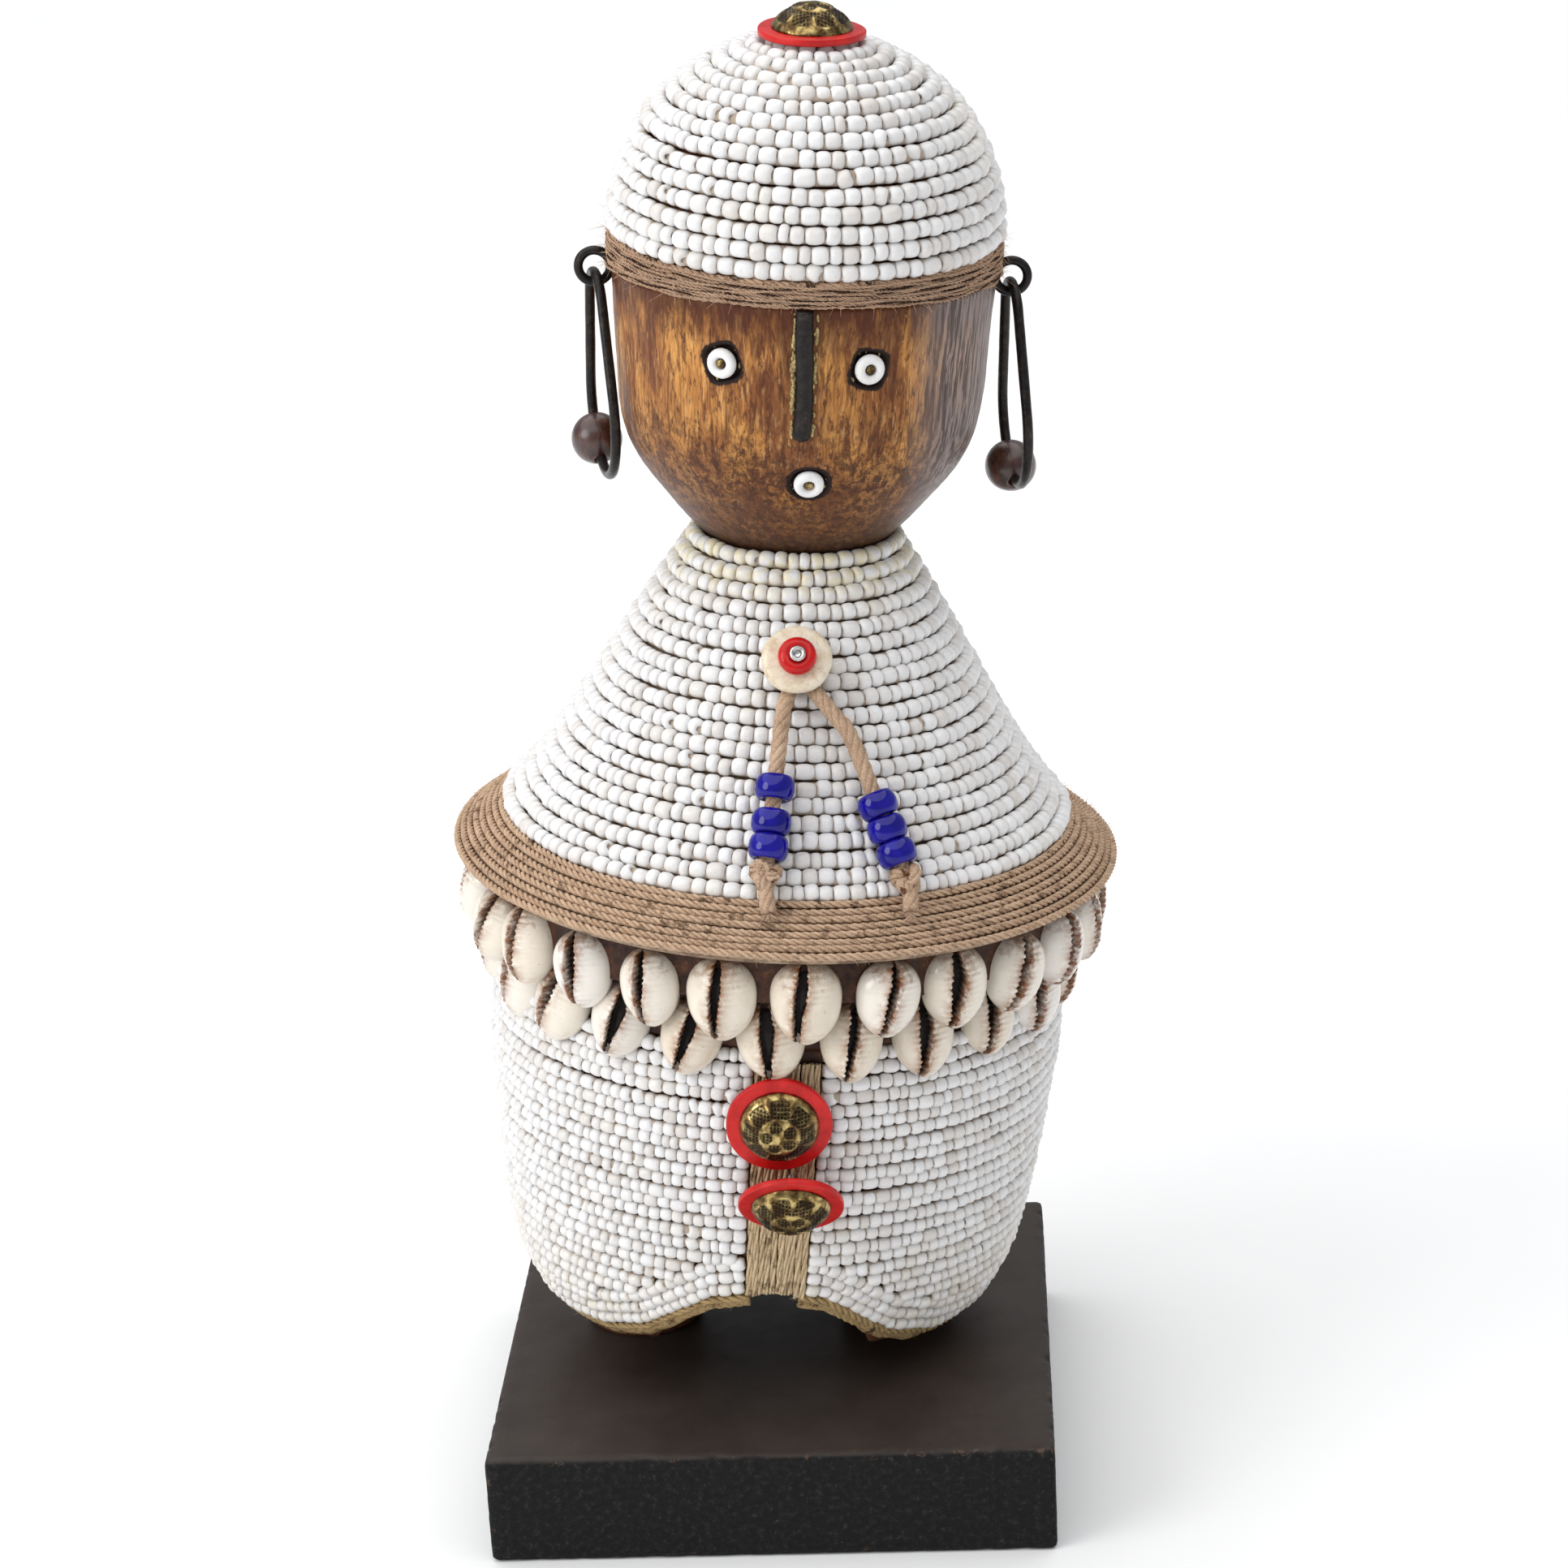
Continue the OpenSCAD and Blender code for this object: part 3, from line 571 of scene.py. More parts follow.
def white_glass():
    """Opaque white seed beads: glossy, uneven in tone, with glue stains here and there, at the neck and the hems."""
    f = Finish("white_glass", coat_weight=0.12, coat_roughness=0.15, specular_ior_level=0.4)
    f.tones(f.attribute("tint"), (0.0, (0.68, 0.645, 0.61)), (0.10, (0.735, 0.715, 0.695)),
            (0.5, (0.785, 0.775, 0.77)), (1.0, (0.83, 0.825, 0.825)))
    f.stain(0.15, (0.78, 0.68, 0.46), f.patches(0.56, 0.68, 14, 4, 0.6))
    height = f.split("Z")
    f.stain(0.55, (0.74, 0.62, 0.27), f.span(height, 165, 173), f.span(height, 176, 180, 1, 0),
            f.patches(0.42, 0.58, 2.4, 3, 0.6))
    f.stain(0.38, (0.76, 0.65, 0.42), f.span(height, 18, 42, 1, 0), f.patches(0.42, 0.60, 3.2, 4, 0.65))
    f.stain(0.25, (0.50, 0.41, 0.31), f.patches(0.58, 0.72, 1.1, 3, 0.6))
    return f.finish(f.uneven(2.2, 0.24, 0.40, 2), f.bump(f.noise(1.3, 2), 0.05))


def wood():
    """Honey wood with short dark upright flecks, dark under the cap, beside the nose, at the chin and neck and
    round the burnt seats, and grey on its right side. The lower face darkens towards the chin with painted shade."""
    f = Finish("carved_wood", coat_weight=0.04, coat_roughness=0.3, specular_ior_level=0.16)
    height, x = f.split("Z"), f.split("X")
    f.tones(f.noise(8, 4, 0.6, (1, 1, 0.4)), (0.38, (0.24, 0.090, 0.028)), (0.50, (0.45, 0.190, 0.048)),
            (0.62, (0.64, 0.305, 0.080)))
    fine = f.noise(0.5, 4, 0.6, (1, 1, 0.09), 0.3)
    fleck = f.noise(1.0, 4, 0.7, (1, 1, 0.24), 0.8)
    f.stain(0.55, (0.20, 0.066, 0.022), f.span(fine, 0.50, 0.60))
    f.stain(0.80, (0.085, 0.026, 0.013), f.span(fleck, 0.53, 0.60))
    f.stain(0.45, (0.72, 0.42, 0.17), f.patches(0.56, 0.64, 0.8, 3, 0.6, (1, 1, 0.16)))
    f.stain(0.74, (0.095, 0.026, 0.009), f.patches(0.50, 0.60, 1.9, 5, 0.68, (1, 1, 0.13), 0.7))
    beside_nose = f.times(f.span(x, -10.3, -2.3), f.span(x, 2, 11, 1, 0), f.span(height, 203, 214))
    f.stain(0.85, (0.075, 0.022, 0.010), beside_nose, f.patches(0.40, 0.54, 1.3, 5, 0.7, (1, 1, 0.12), 0.6))
    f.stain(0.90, (0.035, 0.011, 0.006), f.span(height, 194, 209, 1, 0), f.patches(0.47, 0.56, 1.7, 5, 0.78))
    # Painted shade: the lower face darkens towards the chin, where the head curves under away from the light.
    f.stain(0.70, (0.085, 0.032, 0.016), f.span(f.frayed(height, 40, 7, 5, 0.7), 207, 226, 1, 0))
    f.stain(0.90, (0.070, 0.017, 0.007), f.span(f.frayed(height, 26, 2.6, 5, 0.7, (1, 1, 0.3)), 230.5, 239))
    grey_side = f.times(f.span(x, 19, 27), f.span(f.split("Y"), 0, 14, 1, 0))
    f.stain(0.80, (0.31, 0.25, 0.235), grey_side)
    f.stain(0.80, (0.036, 0.022, 0.017), grey_side, f.patches(0.46, 0.54, 0.85, 4, 0.65, (1, 1, 0.05)))
    f.stain(0.85, (0.030, 0.014, 0.009), f.span(f.frayed(height, 16, 2.4, 5, 0.7), 184, 191, 1, 0))
    burnt = f.span(f.frayed(f.attribute("mask"), 1.1, 0.9, 4, 0.7), 0.95, 1.17)
    f.stain(1, (0.018, 0.010, 0.008), burnt)
    return f.finish(f.span(f.sum(fine, burnt), 0.3, 1.2, 0.32, 0.62),
                    f.bump(fleck, 0.12, 0.6, f.bump(fine, 0.14, 0.8)))


def dark_wood():
    f = Finish("dark_wood", coat_weight=0.2, coat_roughness=0.35)
    grain = f.noise(0.8, 5, 0.6, (1, 1, 0.12), 0.5)
    f.tones(grain, (0.3, (0.045, 0.015, 0.007)), (0.55, (0.14, 0.048, 0.018)), (0.8, (0.27, 0.105, 0.038)))
    f.stain(0.5, (0.30, 0.19, 0.07), f.patches(0.56, 0.7, 5, 4, 0.7))
    return f.finish(f.span(grain, 0.3, 0.8, 0.38, 0.7), f.bump(grain, 0.2))


def ball_wood():
    f = Finish("ball_wood", coat_weight=0.5, coat_roughness=0.2)
    grain = f.noise(1.4, 5, 0.65, (1, 1, 0.4), 0.6)
    f.tones(grain, (0.32, (0.020, 0.008, 0.006)), (0.55, (0.060, 0.018, 0.011)), (0.76, (0.155, 0.050, 0.026)))
    return f.finish(f.span(grain, 0.3, 0.7, 0.24, 0.42), f.bump(grain, 0.08))


def jute(name, light, dark, stain, hair_way=(1, 1, 1)):
    """Plant fibre with glue stains, stronger where mask is higher. A strand with mask over 1.2 is dark all along."""
    f = Finish(name, specular_ior_level=0.2)
    hair, mask = f.noise(0.26, 4, 0.7, hair_way, 1.0), f.attribute("mask")
    f.tone = f.mix(f.attribute("tint"), dark, light)
    f.stain(0.38, dark, f.patches(0.46, 0.60, 11, 4, 0.65))
    f.stain(1, light, f.span(hair, 0.40, 0.62))
    f.stain(0.6, dark, f.span(hair, 0.47, 0.36))
    spot = f.sum(f.patches(0.54, 0.62, 3.2, 5, 0.75), f.span(mask, 1.2, 1.6), "MAXIMUM")
    f.stain(1, stain, spot, f.sum(mask, 0.06))
    return f.finish(f.span(hair, 0.35, 0.65, 0.72, 0.95), f.bump(hair, 0.16))


def iron():
    f = Finish("dark_iron", metallic=0.6, specular_ior_level=0.35)
    wear = f.noise(1.6, 5, 0.7)
    f.tones(wear, (0.3, (0.010, 0.009, 0.009)), (0.60, (0.026, 0.022, 0.020)), (0.80, (0.12, 0.085, 0.055)))
    return f.finish(f.span(wear, 0.3, 0.75, 0.22, 0.42), f.bump(f.noise(0.5, 4, 0.65), 0.08))


def brass():
    """Antique brass: dark hatched patches, worn gold between them."""
    f = Finish("antique_brass", metallic=1.0)
    wear = f.noise(2.0, 5, 0.65)
    f.tones(wear, (0.40, (0.085, 0.052, 0.022)), (0.50, (0.24, 0.16, 0.060)), (0.62, (0.56, 0.43, 0.18)))
    f.stain(1, (0.018, 0.013, 0.009), f.attribute("mask"))
    return f.finish(f.span(wear, 0.4, 0.65, 0.42, 0.22), f.bump(f.noise(0.35, 3, 0.6), 0.03))


def red_plastic(name="red_plastic", gloss=0.30):
    f = Finish(name, coat_weight=0.03, coat_roughness=0.2, specular_ior_level=0.3)
    f.tones(f.noise(4, 3), (0.4, (0.46, 0.006, 0.006)), (0.6, (0.60, 0.012, 0.010)))
    f.stain(0.2, (0.35, 0.08, 0.05), f.patches(0.60, 0.70, 0.5, 4, 0.7))
    return f.finish(f.uneven(1.5, gloss, gloss + 0.16), f.bump(f.noise(0.9, 3), 0.03))


def blue_glass():
    f = Finish("blue_glass", coat_weight=0.06, coat_roughness=0.04, specular_ior_level=0.32)
    f.tones(f.noise(3, 3), (0.4, (0.004, 0.003, 0.17)), (0.6, (0.009, 0.006, 0.26)))
    return f.finish(f.uneven(2, 0.04, 0.09, 2), f.bump(f.noise(2.4, 1), 0.02))


def cowrie_shell():
    """Glossy ivory shell with a toothed slit whose opening is painted near-black as shade, brown stain along its lips
    and at its upper end.
    """
    f = Finish("cowrie_shell", coat_weight=0.25, coat_roughness=0.10, specular_ior_level=0.55)
    mask = f.attribute("mask")
    slit = (mask, 0.5, 0.85)
    f.tones(f.attribute("tint"), (0.0, (0.72, 0.61, 0.47)), (0.4, (0.80, 0.73, 0.62)), (1.0, (0.86, 0.82, 0.77)))
    f.stain(0.45, (0.86, 0.79, 0.68), f.patches(0.45, 0.62, 3.5, 4, 0.6))
    f.stain(0.6, (0.34, 0.15, 0.05), f.patches(0.66, 0.72, 0.7, 3, 0.7))
    f.stain(0.7, (0.26, 0.10, 0.03), f.span(f.frayed(f.attribute("along"), 1, 2.5, 4, 0.7), 1.28, 1.52))
    f.stain(0.95, (0.27, 0.095, 0.024), f.span(mask, 0.04, 0.4), f.patches(0.36, 0.56, 2.6, 4, 0.7))
    # Painted shade: the slit's opening is coloured near-black, standing in for the dark inside of the shell.
    f.stain(1, (0.010, 0.005, 0.004), f.span(*slit))
    return f.finish(f.sum(f.uneven(1.8, 0.12, 0.26), f.span(*slit, 0, 0.7)), f.bump(f.noise(1.2, 3), 0.03))


def resin():
    """Dark glue over cloth behind the shells."""
    f = Finish("dark_resin", own=False, coat_weight=0.06, coat_roughness=0.3, specular_ior_level=0.25)
    f.tones(f.noise(3, 5, 0.7), (0.35, (0.020, 0.007, 0.004)), (0.6, (0.070, 0.024, 0.010)),
            (0.8, (0.20, 0.075, 0.028)))
    return f.finish(f.uneven(2, 0.35, 0.7), f.bump(f.noise(1.4, 4, 0.7), 0.4))


def hide():
    """Brown cloth and glue under the cape's beads."""
    f = Finish("cape_hide", own=False, specular_ior_level=0.3)
    f.tones(f.noise(4, 5, 0.7), (0.40, (0.17, 0.11, 0.070)), (0.5, (0.27, 0.19, 0.125)),
            (0.60, (0.38, 0.28, 0.19)))
    fold = f.texture("ShaderNodeTexVoronoi", "Distance", Scale=1 / 1.6)
    return f.finish(f.span(fold, 0, 0.6, 0.8, 0.6), f.bump(fold, 0.25))


def bone():
    f = Finish("bone", coat_weight=0.15, coat_roughness=0.3, specular_ior_level=0.45)
    f.tones(f.noise(2.5, 4, 0.6), (0.3, (0.60, 0.46, 0.29)), (0.5, (0.76, 0.66, 0.50)), (0.75, (0.84, 0.78, 0.66)))
    pore = f.patches(0.60, 0.70, 0.35, 3, 0.7, (1, 0.25, 1))
    f.stain(0.5, (0.42, 0.28, 0.14), pore)
    return f.finish(f.uneven(1.2, 0.3, 0.5), f.bump(pore, 0.06))


def steel(own=True):
    f = Finish("bright_steel" if own else "hidden_steel", own=own, metallic=1.0)
    f.tones(f.noise(1.5, 4), (0.3, (0.42, 0.41, 0.40)), (0.7, (0.74, 0.73, 0.72)))
    return f.finish(f.uneven(0.8, 0.2, 0.38), f.bump(f.noise(0.4, 3), 0.02))


def block_paint():
    """Black-brown paint: satin on the smooth top, matt and rough on the sawn sides, with chips at the edges."""
    f = Finish("block_paint", specular_ior_level=0.24)
    top, grit = f.attribute("mask"), f.noise(1.5, 5, 0.75)
    on_top = f.ramp(f.noise(22, 4, 0.6), (0.3, (0.028, 0.021, 0.018)), (0.7, (0.048, 0.036, 0.030)))
    on_side = f.ramp(grit, (0.45, (0.002,) * 3), (0.58, (0.010,) * 3), (0.70, (0.040,) * 3))
    f.tone = f.mix(top, on_side, on_top)
    f.stain(0.35, (0.10, 0.075, 0.06), f.patches(0.71, 0.76, 1.1, 3, 0.5))
    f.stain(1, (0.11, 0.065, 0.040), f.attribute("along"), f.patches(0.60, 0.66, 1.8, 4, 0.7))
    rough_top = f.span(f.noise(9, 4, 0.65), 0.35, 0.7, 0.36, 0.50)
    rough = f.span(top, 0, 1, f.span(grit, 0.3, 0.7, 0.62, 0.85), rough_top)
    return f.finish(rough, f.bump(grit, 0.30, f.span(top, 0, 1, 0.9, 0.10)))


def gold_glue():
    f = Finish("gold_glue", metallic=0.3)
    f.tones(f.noise(0.5, 4, 0.7), (0.35, (0.10, 0.06, 0.02)), (0.55, (0.46, 0.34, 0.14)),
            (0.75, (0.72, 0.63, 0.36)))
    return f.finish(f.uneven(0.7, 0.4, 0.6), f.bump(f.noise(0.4, 4), 0.1))


GLASS = white_glass()
WOOD = wood()
DARK_WOOD = dark_wood()
BRIM_JUTE = jute("brim_jute", (0.68, 0.485, 0.335), (0.35, 0.215, 0.130), (0.13, 0.070, 0.038))
RIM_JUTE = jute("rim_jute", (0.72, 0.50, 0.345), (0.33, 0.175, 0.100), (0.035, 0.014, 0.008))
HEMP = jute("hemp_cord", (0.64, 0.465, 0.33), (0.33, 0.195, 0.115), (0.13, 0.055, 0.026))
BAND_JUTE = jute("band_jute", (0.74, 0.58, 0.37), (0.38, 0.27, 0.145), (0.13, 0.070, 0.034), (1, 1, 0.06))
HEM_JUTE = jute("hem_jute", (0.52, 0.37, 0.18), (0.24, 0.15, 0.065), (0.075, 0.040, 0.020))
THREAD = jute("bead_thread", (0.60, 0.50, 0.41), (0.38, 0.285, 0.21), (0.10, 0.06, 0.035))
IRON = iron()
BRASS = brass()
RED = red_plastic()
RED_GLASS = red_plastic("red_glass", 0.08)
BLUE = blue_glass()
SHELL = cowrie_shell()
RESIN = resin()
HIDE = hide()
BONE = bone()
STEEL = steel()
HIDDEN_STEEL = steel(False)
PAINT = block_paint()
GOLD = gold_glue()
BALL_WOOD = ball_wood()

# ---------- camera ----------

PHOTO_SIDE = 1932
SENSOR = 36
AZIMUTH = 3.25
ELEVATION = 19.3
ROLL = -2.96
DISTANCE = 786.4
FOCAL_PIXELS = 4788
TARGET = Vector((6.84, 0, 144.4))


def make_camera():
    data = bpy.data.cameras.new("camera")
    data.sensor_width = SENSOR
    data.lens = FOCAL_PIXELS / PHOTO_SIDE * SENSOR
    data.clip_start, data.clip_end = 0.05, 20
    turn = rotated(AZIMUTH, "Z") @ rotated(90 - ELEVATION, "X") @ rotated(ROLL, "Z")
    camera = linked("camera", data)
    camera.matrix_world = shift(*((TARGET + turn.col[2].to_3d() * DISTANCE) * MM)) @ turn
    bpy.context.scene.camera = camera


make_camera()

# ---------- tassels ----------

CORD_POINTS = 130
CORD_SWELL = 1.28
CORD_FIBRES, CORD_ENDS, KNOT_FIBRES = 90, 46, 60
KNOT_CORD_D = 2.6
KNOT_WIDE, KNOT_TALL = 0.72, 0.78
BLUE_FATTER, BLUE_LONGER = 1.07, 1.02


def add_bead(heap, place, radius, length, hole, steps, tint=0.5):
    """One glass bead: a fat ring round the Z axis of its place."""
    a = np.linspace(0, TAU, 20, endpoint=False)
    profile = np.stack([(radius + hole) / 2 + (radius - hole) / 2 * np.cos(a),
                        length / 2 * np.copysign(np.abs(np.sin(a)) ** 0.95, np.sin(a))], -1)
    heap.add(moved(turned(profile, steps).reshape(-1, 3), place), grid_quads(len(profile), steps, True), tint=tint)


def make_tassel(side):
    rng = random.Random(40 + len(side))
    route = np.array(TASSELS[side], float)
    low_index, lifts = TASSEL_BEADS[side]
    low = route[low_index]
    up = unit(route[low_index - 1] - low)
    path = smooth_line(route, 10)
    path = along_line(path, np.linspace(0, run_lengths(path)[-1], CORD_POINTS))
    cord = Heap()
    add_strand(cord, rng, path, CORD_D * CORD_SWELL, plies=5, lay=12, sides=8, mask=0.25)
    add_fibres(cord, rng, path, outward(path), CORD_FIBRES, (1, 2.6))
    drop = unit(path[-1] - path[-6])
    s = np.linspace(-0.6, 1, 7)[:, None]
    for _ in range(CORD_ENDS):
        spread = unit(np.array([rng.gauss(0, 0.45), rng.gauss(0, 0.3), rng.gauss(0, 0.25)]) + drop)
        line = path[-1] + spread * s * rng.uniform(1.1, 2.3) + np.array([rng.gauss(0, 0.4), 0, 0]) * s * s
        add_tube(cord, line, rng.uniform(0.13, 0.24) * (1.1 - 0.75 * np.abs(s[:, 0])), 5, tint=rng.uniform(0.3, 1))
    obj = piece(f"tassel_cord_{side}", cord, HEMP)

    beads = Heap()
    for lift in lifts:
        tilt = unit(up + np.array([rng.uniform(-0.07, 0.07), 0, rng.uniform(-0.04, 0.04)]))
        add_bead(beads, stood_on(tilt, low + up * lift), BLUE_D / 2 * BLUE_FATTER, BLUE_L * BLUE_LONGER,
                 CORD_D / 2 + 0.2, 40)
    bead_piece = piece(f"tassel_beads_{side}", beads, BLUE, f"{side}_tassel_beads")

    knot = Heap()
    centre = low - up * KNOT_DROP
    t = np.linspace(0, TAU, 110, endpoint=False)
    side_way = unit(np.cross(up, (0, 1, 0)))
    trefoil = np.stack([np.sin(t) + 2 * np.sin(2 * t), np.cos(t) - 2 * np.cos(2 * t), -np.sin(3 * t)], -1)
    loop = centre + trefoil @ np.stack([side_way * KNOT_WIDE, up * KNOT_TALL, np.cross(up, side_way)])
    add_strand(knot, rng, loop, KNOT_CORD_D, closed=True, plies=5, lay=9, sides=7, mask=1.05)
    add_fibres(knot, rng, loop, unit(loop - centre), KNOT_FIBRES, (0.8, 2))
    knot_piece = piece(f"tassel_knot_{side}", knot, HEMP)


for tassel_side in TASSELS:
    make_tassel(tassel_side)

# ---------- white beads ----------

BEAD_PROFILE = np.array([(-0.13, 1.0), (0.13, 1.0), (0.31, 0.94), (0.44, 0.78), (0.5, 0.55), (0.44, 0.34),
                         (-0.44, 0.34), (-0.5, 0.55), (-0.44, 0.78), (-0.31, 0.94)])
ROW_BEAD_R, TRUNK_BEAD_R, TRUNK_BEAD_L = 1.72, 1.46, 2.5
ROW_THREAD, TRUNK_THREAD = (1.55, 0.6), (1.28, 0.66)
BEAD_STEP = 0.4
BEAD_GAP = 1.03
LENGTH_SPREAD, WIDTH_SPREAD = 0.17, 0.035
SLIP, LIFT, SWAY = 0.07, 0.06, 0.055


def add_beads(heap, centres, tangent, normal, lengths, radii, tints, around):
    """All beads of a row at once, each a hollow barrel along its tangent."""
    tangent = unit(tangent)
    normal = unit(normal - tangent * np.sum(normal * tangent, -1, keepdims=True))
    side = np.cross(tangent, normal)[:, None, None]
    a = np.linspace(0, TAU, around, endpoint=False)[:, None]
    x, r = BEAD_PROFILE[:, 0, None, None], BEAD_PROFILE[:, 1, None, None]
    points = (centres[:, None, None] + tangent[:, None, None] * (x * lengths[:, None, None, None])
              + (normal[:, None, None] * np.cos(a) + side * np.sin(a)) * (r * radii[:, None, None, None]))
    per = len(x) * around
    quads = grid_quads(len(x), around, True)[None] + (np.arange(len(centres)) * per)[:, None, None]
    heap.add(points.reshape(-1, 3), quads, tint=np.repeat(tints, per))


def string_beads(heap, rng, path, normals, length, radius, closed=False, around=12, turned_share=0.04):
    """Beads of uneven length, end to end along a path. A small share of them are turned out of line."""
    if closed:
        path, normals = (np.vstack([p, p[:1]]) for p in (path, normals))
    runs = run_lengths(path)
    total = runs[-1]
    count = max(1, round(total / (length * BEAD_GAP)))
    sizes = np.array([min(max(rng.gauss(1, LENGTH_SPREAD), 0.66), 1.5) for _ in range(count)])
    pitch = sizes / sizes.sum() * total
    middle = np.cumsum(pitch) - pitch / 2 + (rng.uniform(0, length) if closed else 0)

    def at(values, s):
        return along_line(values, s % total if closed else s, runs)

    centres, normal = at(path, middle), unit(at(normals, middle))
    along = unit(at(path, middle + BEAD_STEP) - at(path, middle - BEAD_STEP))
    over = np.cross(normal, along)
    slip, lift, yaw, pitch_up = np.array([[rng.gauss(0, 1) for _ in range(4)] for _ in range(count)]).T[..., None]
    spin = np.array([rng.choice((-1, 1)) * rng.uniform(0.5, 1.1) if rng.random() < turned_share else 0
                     for _ in range(count)])[:, None]
    centres = centres + over * slip * SLIP * radius + normal * lift * LIFT * radius
    along = along + over * (yaw * SWAY + spin * 0.5) + normal * (pitch_up * SWAY + np.abs(spin) * 0.55)
    radii = radius * np.array([min(max(rng.gauss(1, WIDTH_SPREAD), 0.88), 1.08) for _ in range(count)])
    long = np.where(spin[:, 0] != 0, np.minimum(pitch, length), pitch) * 0.975
    add_beads(heap, centres, along, normal, long, radii, np.array([rng.random() for _ in range(count)]), around)


def add_thread(heap, rng, path, normals, sunk, size, closed=False):
    radius, flat = size
    add_tube(heap, path - normals * sunk, radius, 8, closed, normals, flat, tint=rng.random())


def ring_path(radius, height, steps=180):
    a = np.radians(np.arange(steps) * 360 / steps)
    return np.stack([radius * np.sin(a), -radius * np.cos(a), np.full(steps, height)], -1)


def wavy_ring(rng, radius, height, up_slope):
    """A ring that wanders a little along its surface, and its outward normals."""
    path = ring_path(radius, height)
    wander = drift(rng, np.arange(len(path)) * TAU / len(path), 0.16, (1, 2, 3, 5, 8))
    out = outward(path)
    path = path + wander[:, None] * (out * up_slope[0] + np.array([0, 0, up_slope[1]]))
    return path, unit(out * up_slope[1] - np.array([0, 0, up_slope[0]]))


def make_bead_rows(name, line, count, seed, parts, length, place=FIGURE):
    """Rings of beads on their threads, along a line of (radius, height). parts is how many pieces they fill."""
    rng = random.Random(seed)
    end = run_lengths(line)[-1]
    s = np.linspace(0, end, count)
    ways = unit(along_line(line, np.minimum(s + 0.5, end)) - along_line(line, np.maximum(s - 0.5, 0)))
    rows = list(zip(along_line(line, s), ways))
    threads = Heap()
    share = math.ceil(count / parts)
    for part in range(parts):
        heap = Heap()
        for (r, h), way in rows[part * share:(part + 1) * share]:
            path, normals = wavy_ring(rng, r, h, way if way[1] > 0 else -way)
            string_beads(heap, rng, path, normals, length, ROW_BEAD_R, closed=True)
            add_thread(threads, rng, path, normals, 0.25, ROW_THREAD, True)
        piece(f"{name}_{part + 1}", heap, GLASS, place=place, stands_for=None if part else name)
    piece(f"{name}_threads", threads, THREAD, place=place)


make_bead_rows("cap_bead_rows", CAP_LINE, CAP_ROWS, 11, 2, 3.0, FIGURE @ IN_CAP)
make_bead_rows("cape_bead_rows", CAPE_LINE, CAPE_ROWS, 12, 4, 2.75)


def runs_where(test):
    """Start and end of each stretch where test is true."""
    edges = np.flatnonzero(np.diff(np.concatenate([[0], test.astype(int), [0]])))
    return zip(edges[::2], edges[1::2])


def make_trunk_beads(side, label):
    """Level rows down to three rows that follow the hem. The rows end unevenly at the back, to hide the seam."""
    rng = random.Random(20 + side)
    low, high, threads = Heap(), Heap(), Heap()
    start = BAND_MID + side * (BAND_HALF + 0.15)
    paths = []
    for k in range(TRUNK_ROWS):
        az = np.linspace(start, side * 180 + 3.2 * math.sin(2.4 * k), 300)
        h = TRUNK_TOP - 1.6 - k * TRUNK_PITCH + drift(rng, np.radians(az), 0.3, (1, 2, 3, 5))
        above_hem = h > hem_height(az) + 1.3 + TRUNK_PITCH * (HEM_ROWS - 0.55)
        paths += [(az[i:j], h[i:j]) for i, j in runs_where(above_hem) if j - i >= 6]
    for k in range(HEM_ROWS):
        az = np.linspace(start, side * 180 + 1.5 * (k % 2), 300)
        paths.append((az, hem_height(az) + 1.5 + TRUNK_PITCH * k))
    for az, h in paths:
        path, normals = trunk_point(az, h, TRUNK_BEAD_R - 0.1), trunk_normal(az, h)
        string_beads(high if h.mean() > 45 else low, rng, path, normals, TRUNK_BEAD_L, TRUNK_BEAD_R, around=10,
                     turned_share=0.05)
        add_thread(threads, rng, path, normals, 0.22, TRUNK_THREAD)
    piece(f"trunk_beads_{label}", high, GLASS)
    piece(f"trunk_beads_{label}_low", low, GLASS)
    piece(f"trunk_beads_{label}_threads", threads, THREAD)


make_trunk_beads(-1, "left")
make_trunk_beads(1, "right")

# ---------- jute at the cap's rim, the cape's brim, the front band and the hems ----------

RIM_STEPS = 520
RIM_CORDS = ((0, 0.35, 1.9), (0.34, 1.0, 2.1), (0.67, 0.6, 2.0), (1, 0.9, 1.9))
RIM_THREADS = 13
RIM_FIBRES, BRIM_FIBRES, BAND_FIBRES, HEM_FIBRES = 380, 140, 12, 60
BRIM_STAINS = (0.9, 0.65, 0.75, 0.6, 0.7, 0.55, 0.5, 0.35)
BRIM_CORD_D = 1.66
BRIM_STEP, BRIM_LAY = 0.45, 5.2
BAND_CORDS = 10
HEM_CORDS = ((0.9, 1.15), (2.5, 1.7))
HEM_CORD_D = 2.0
HEM_GLUE_DROP, HEM_GLUE_DEEP = 2.1, 2.0


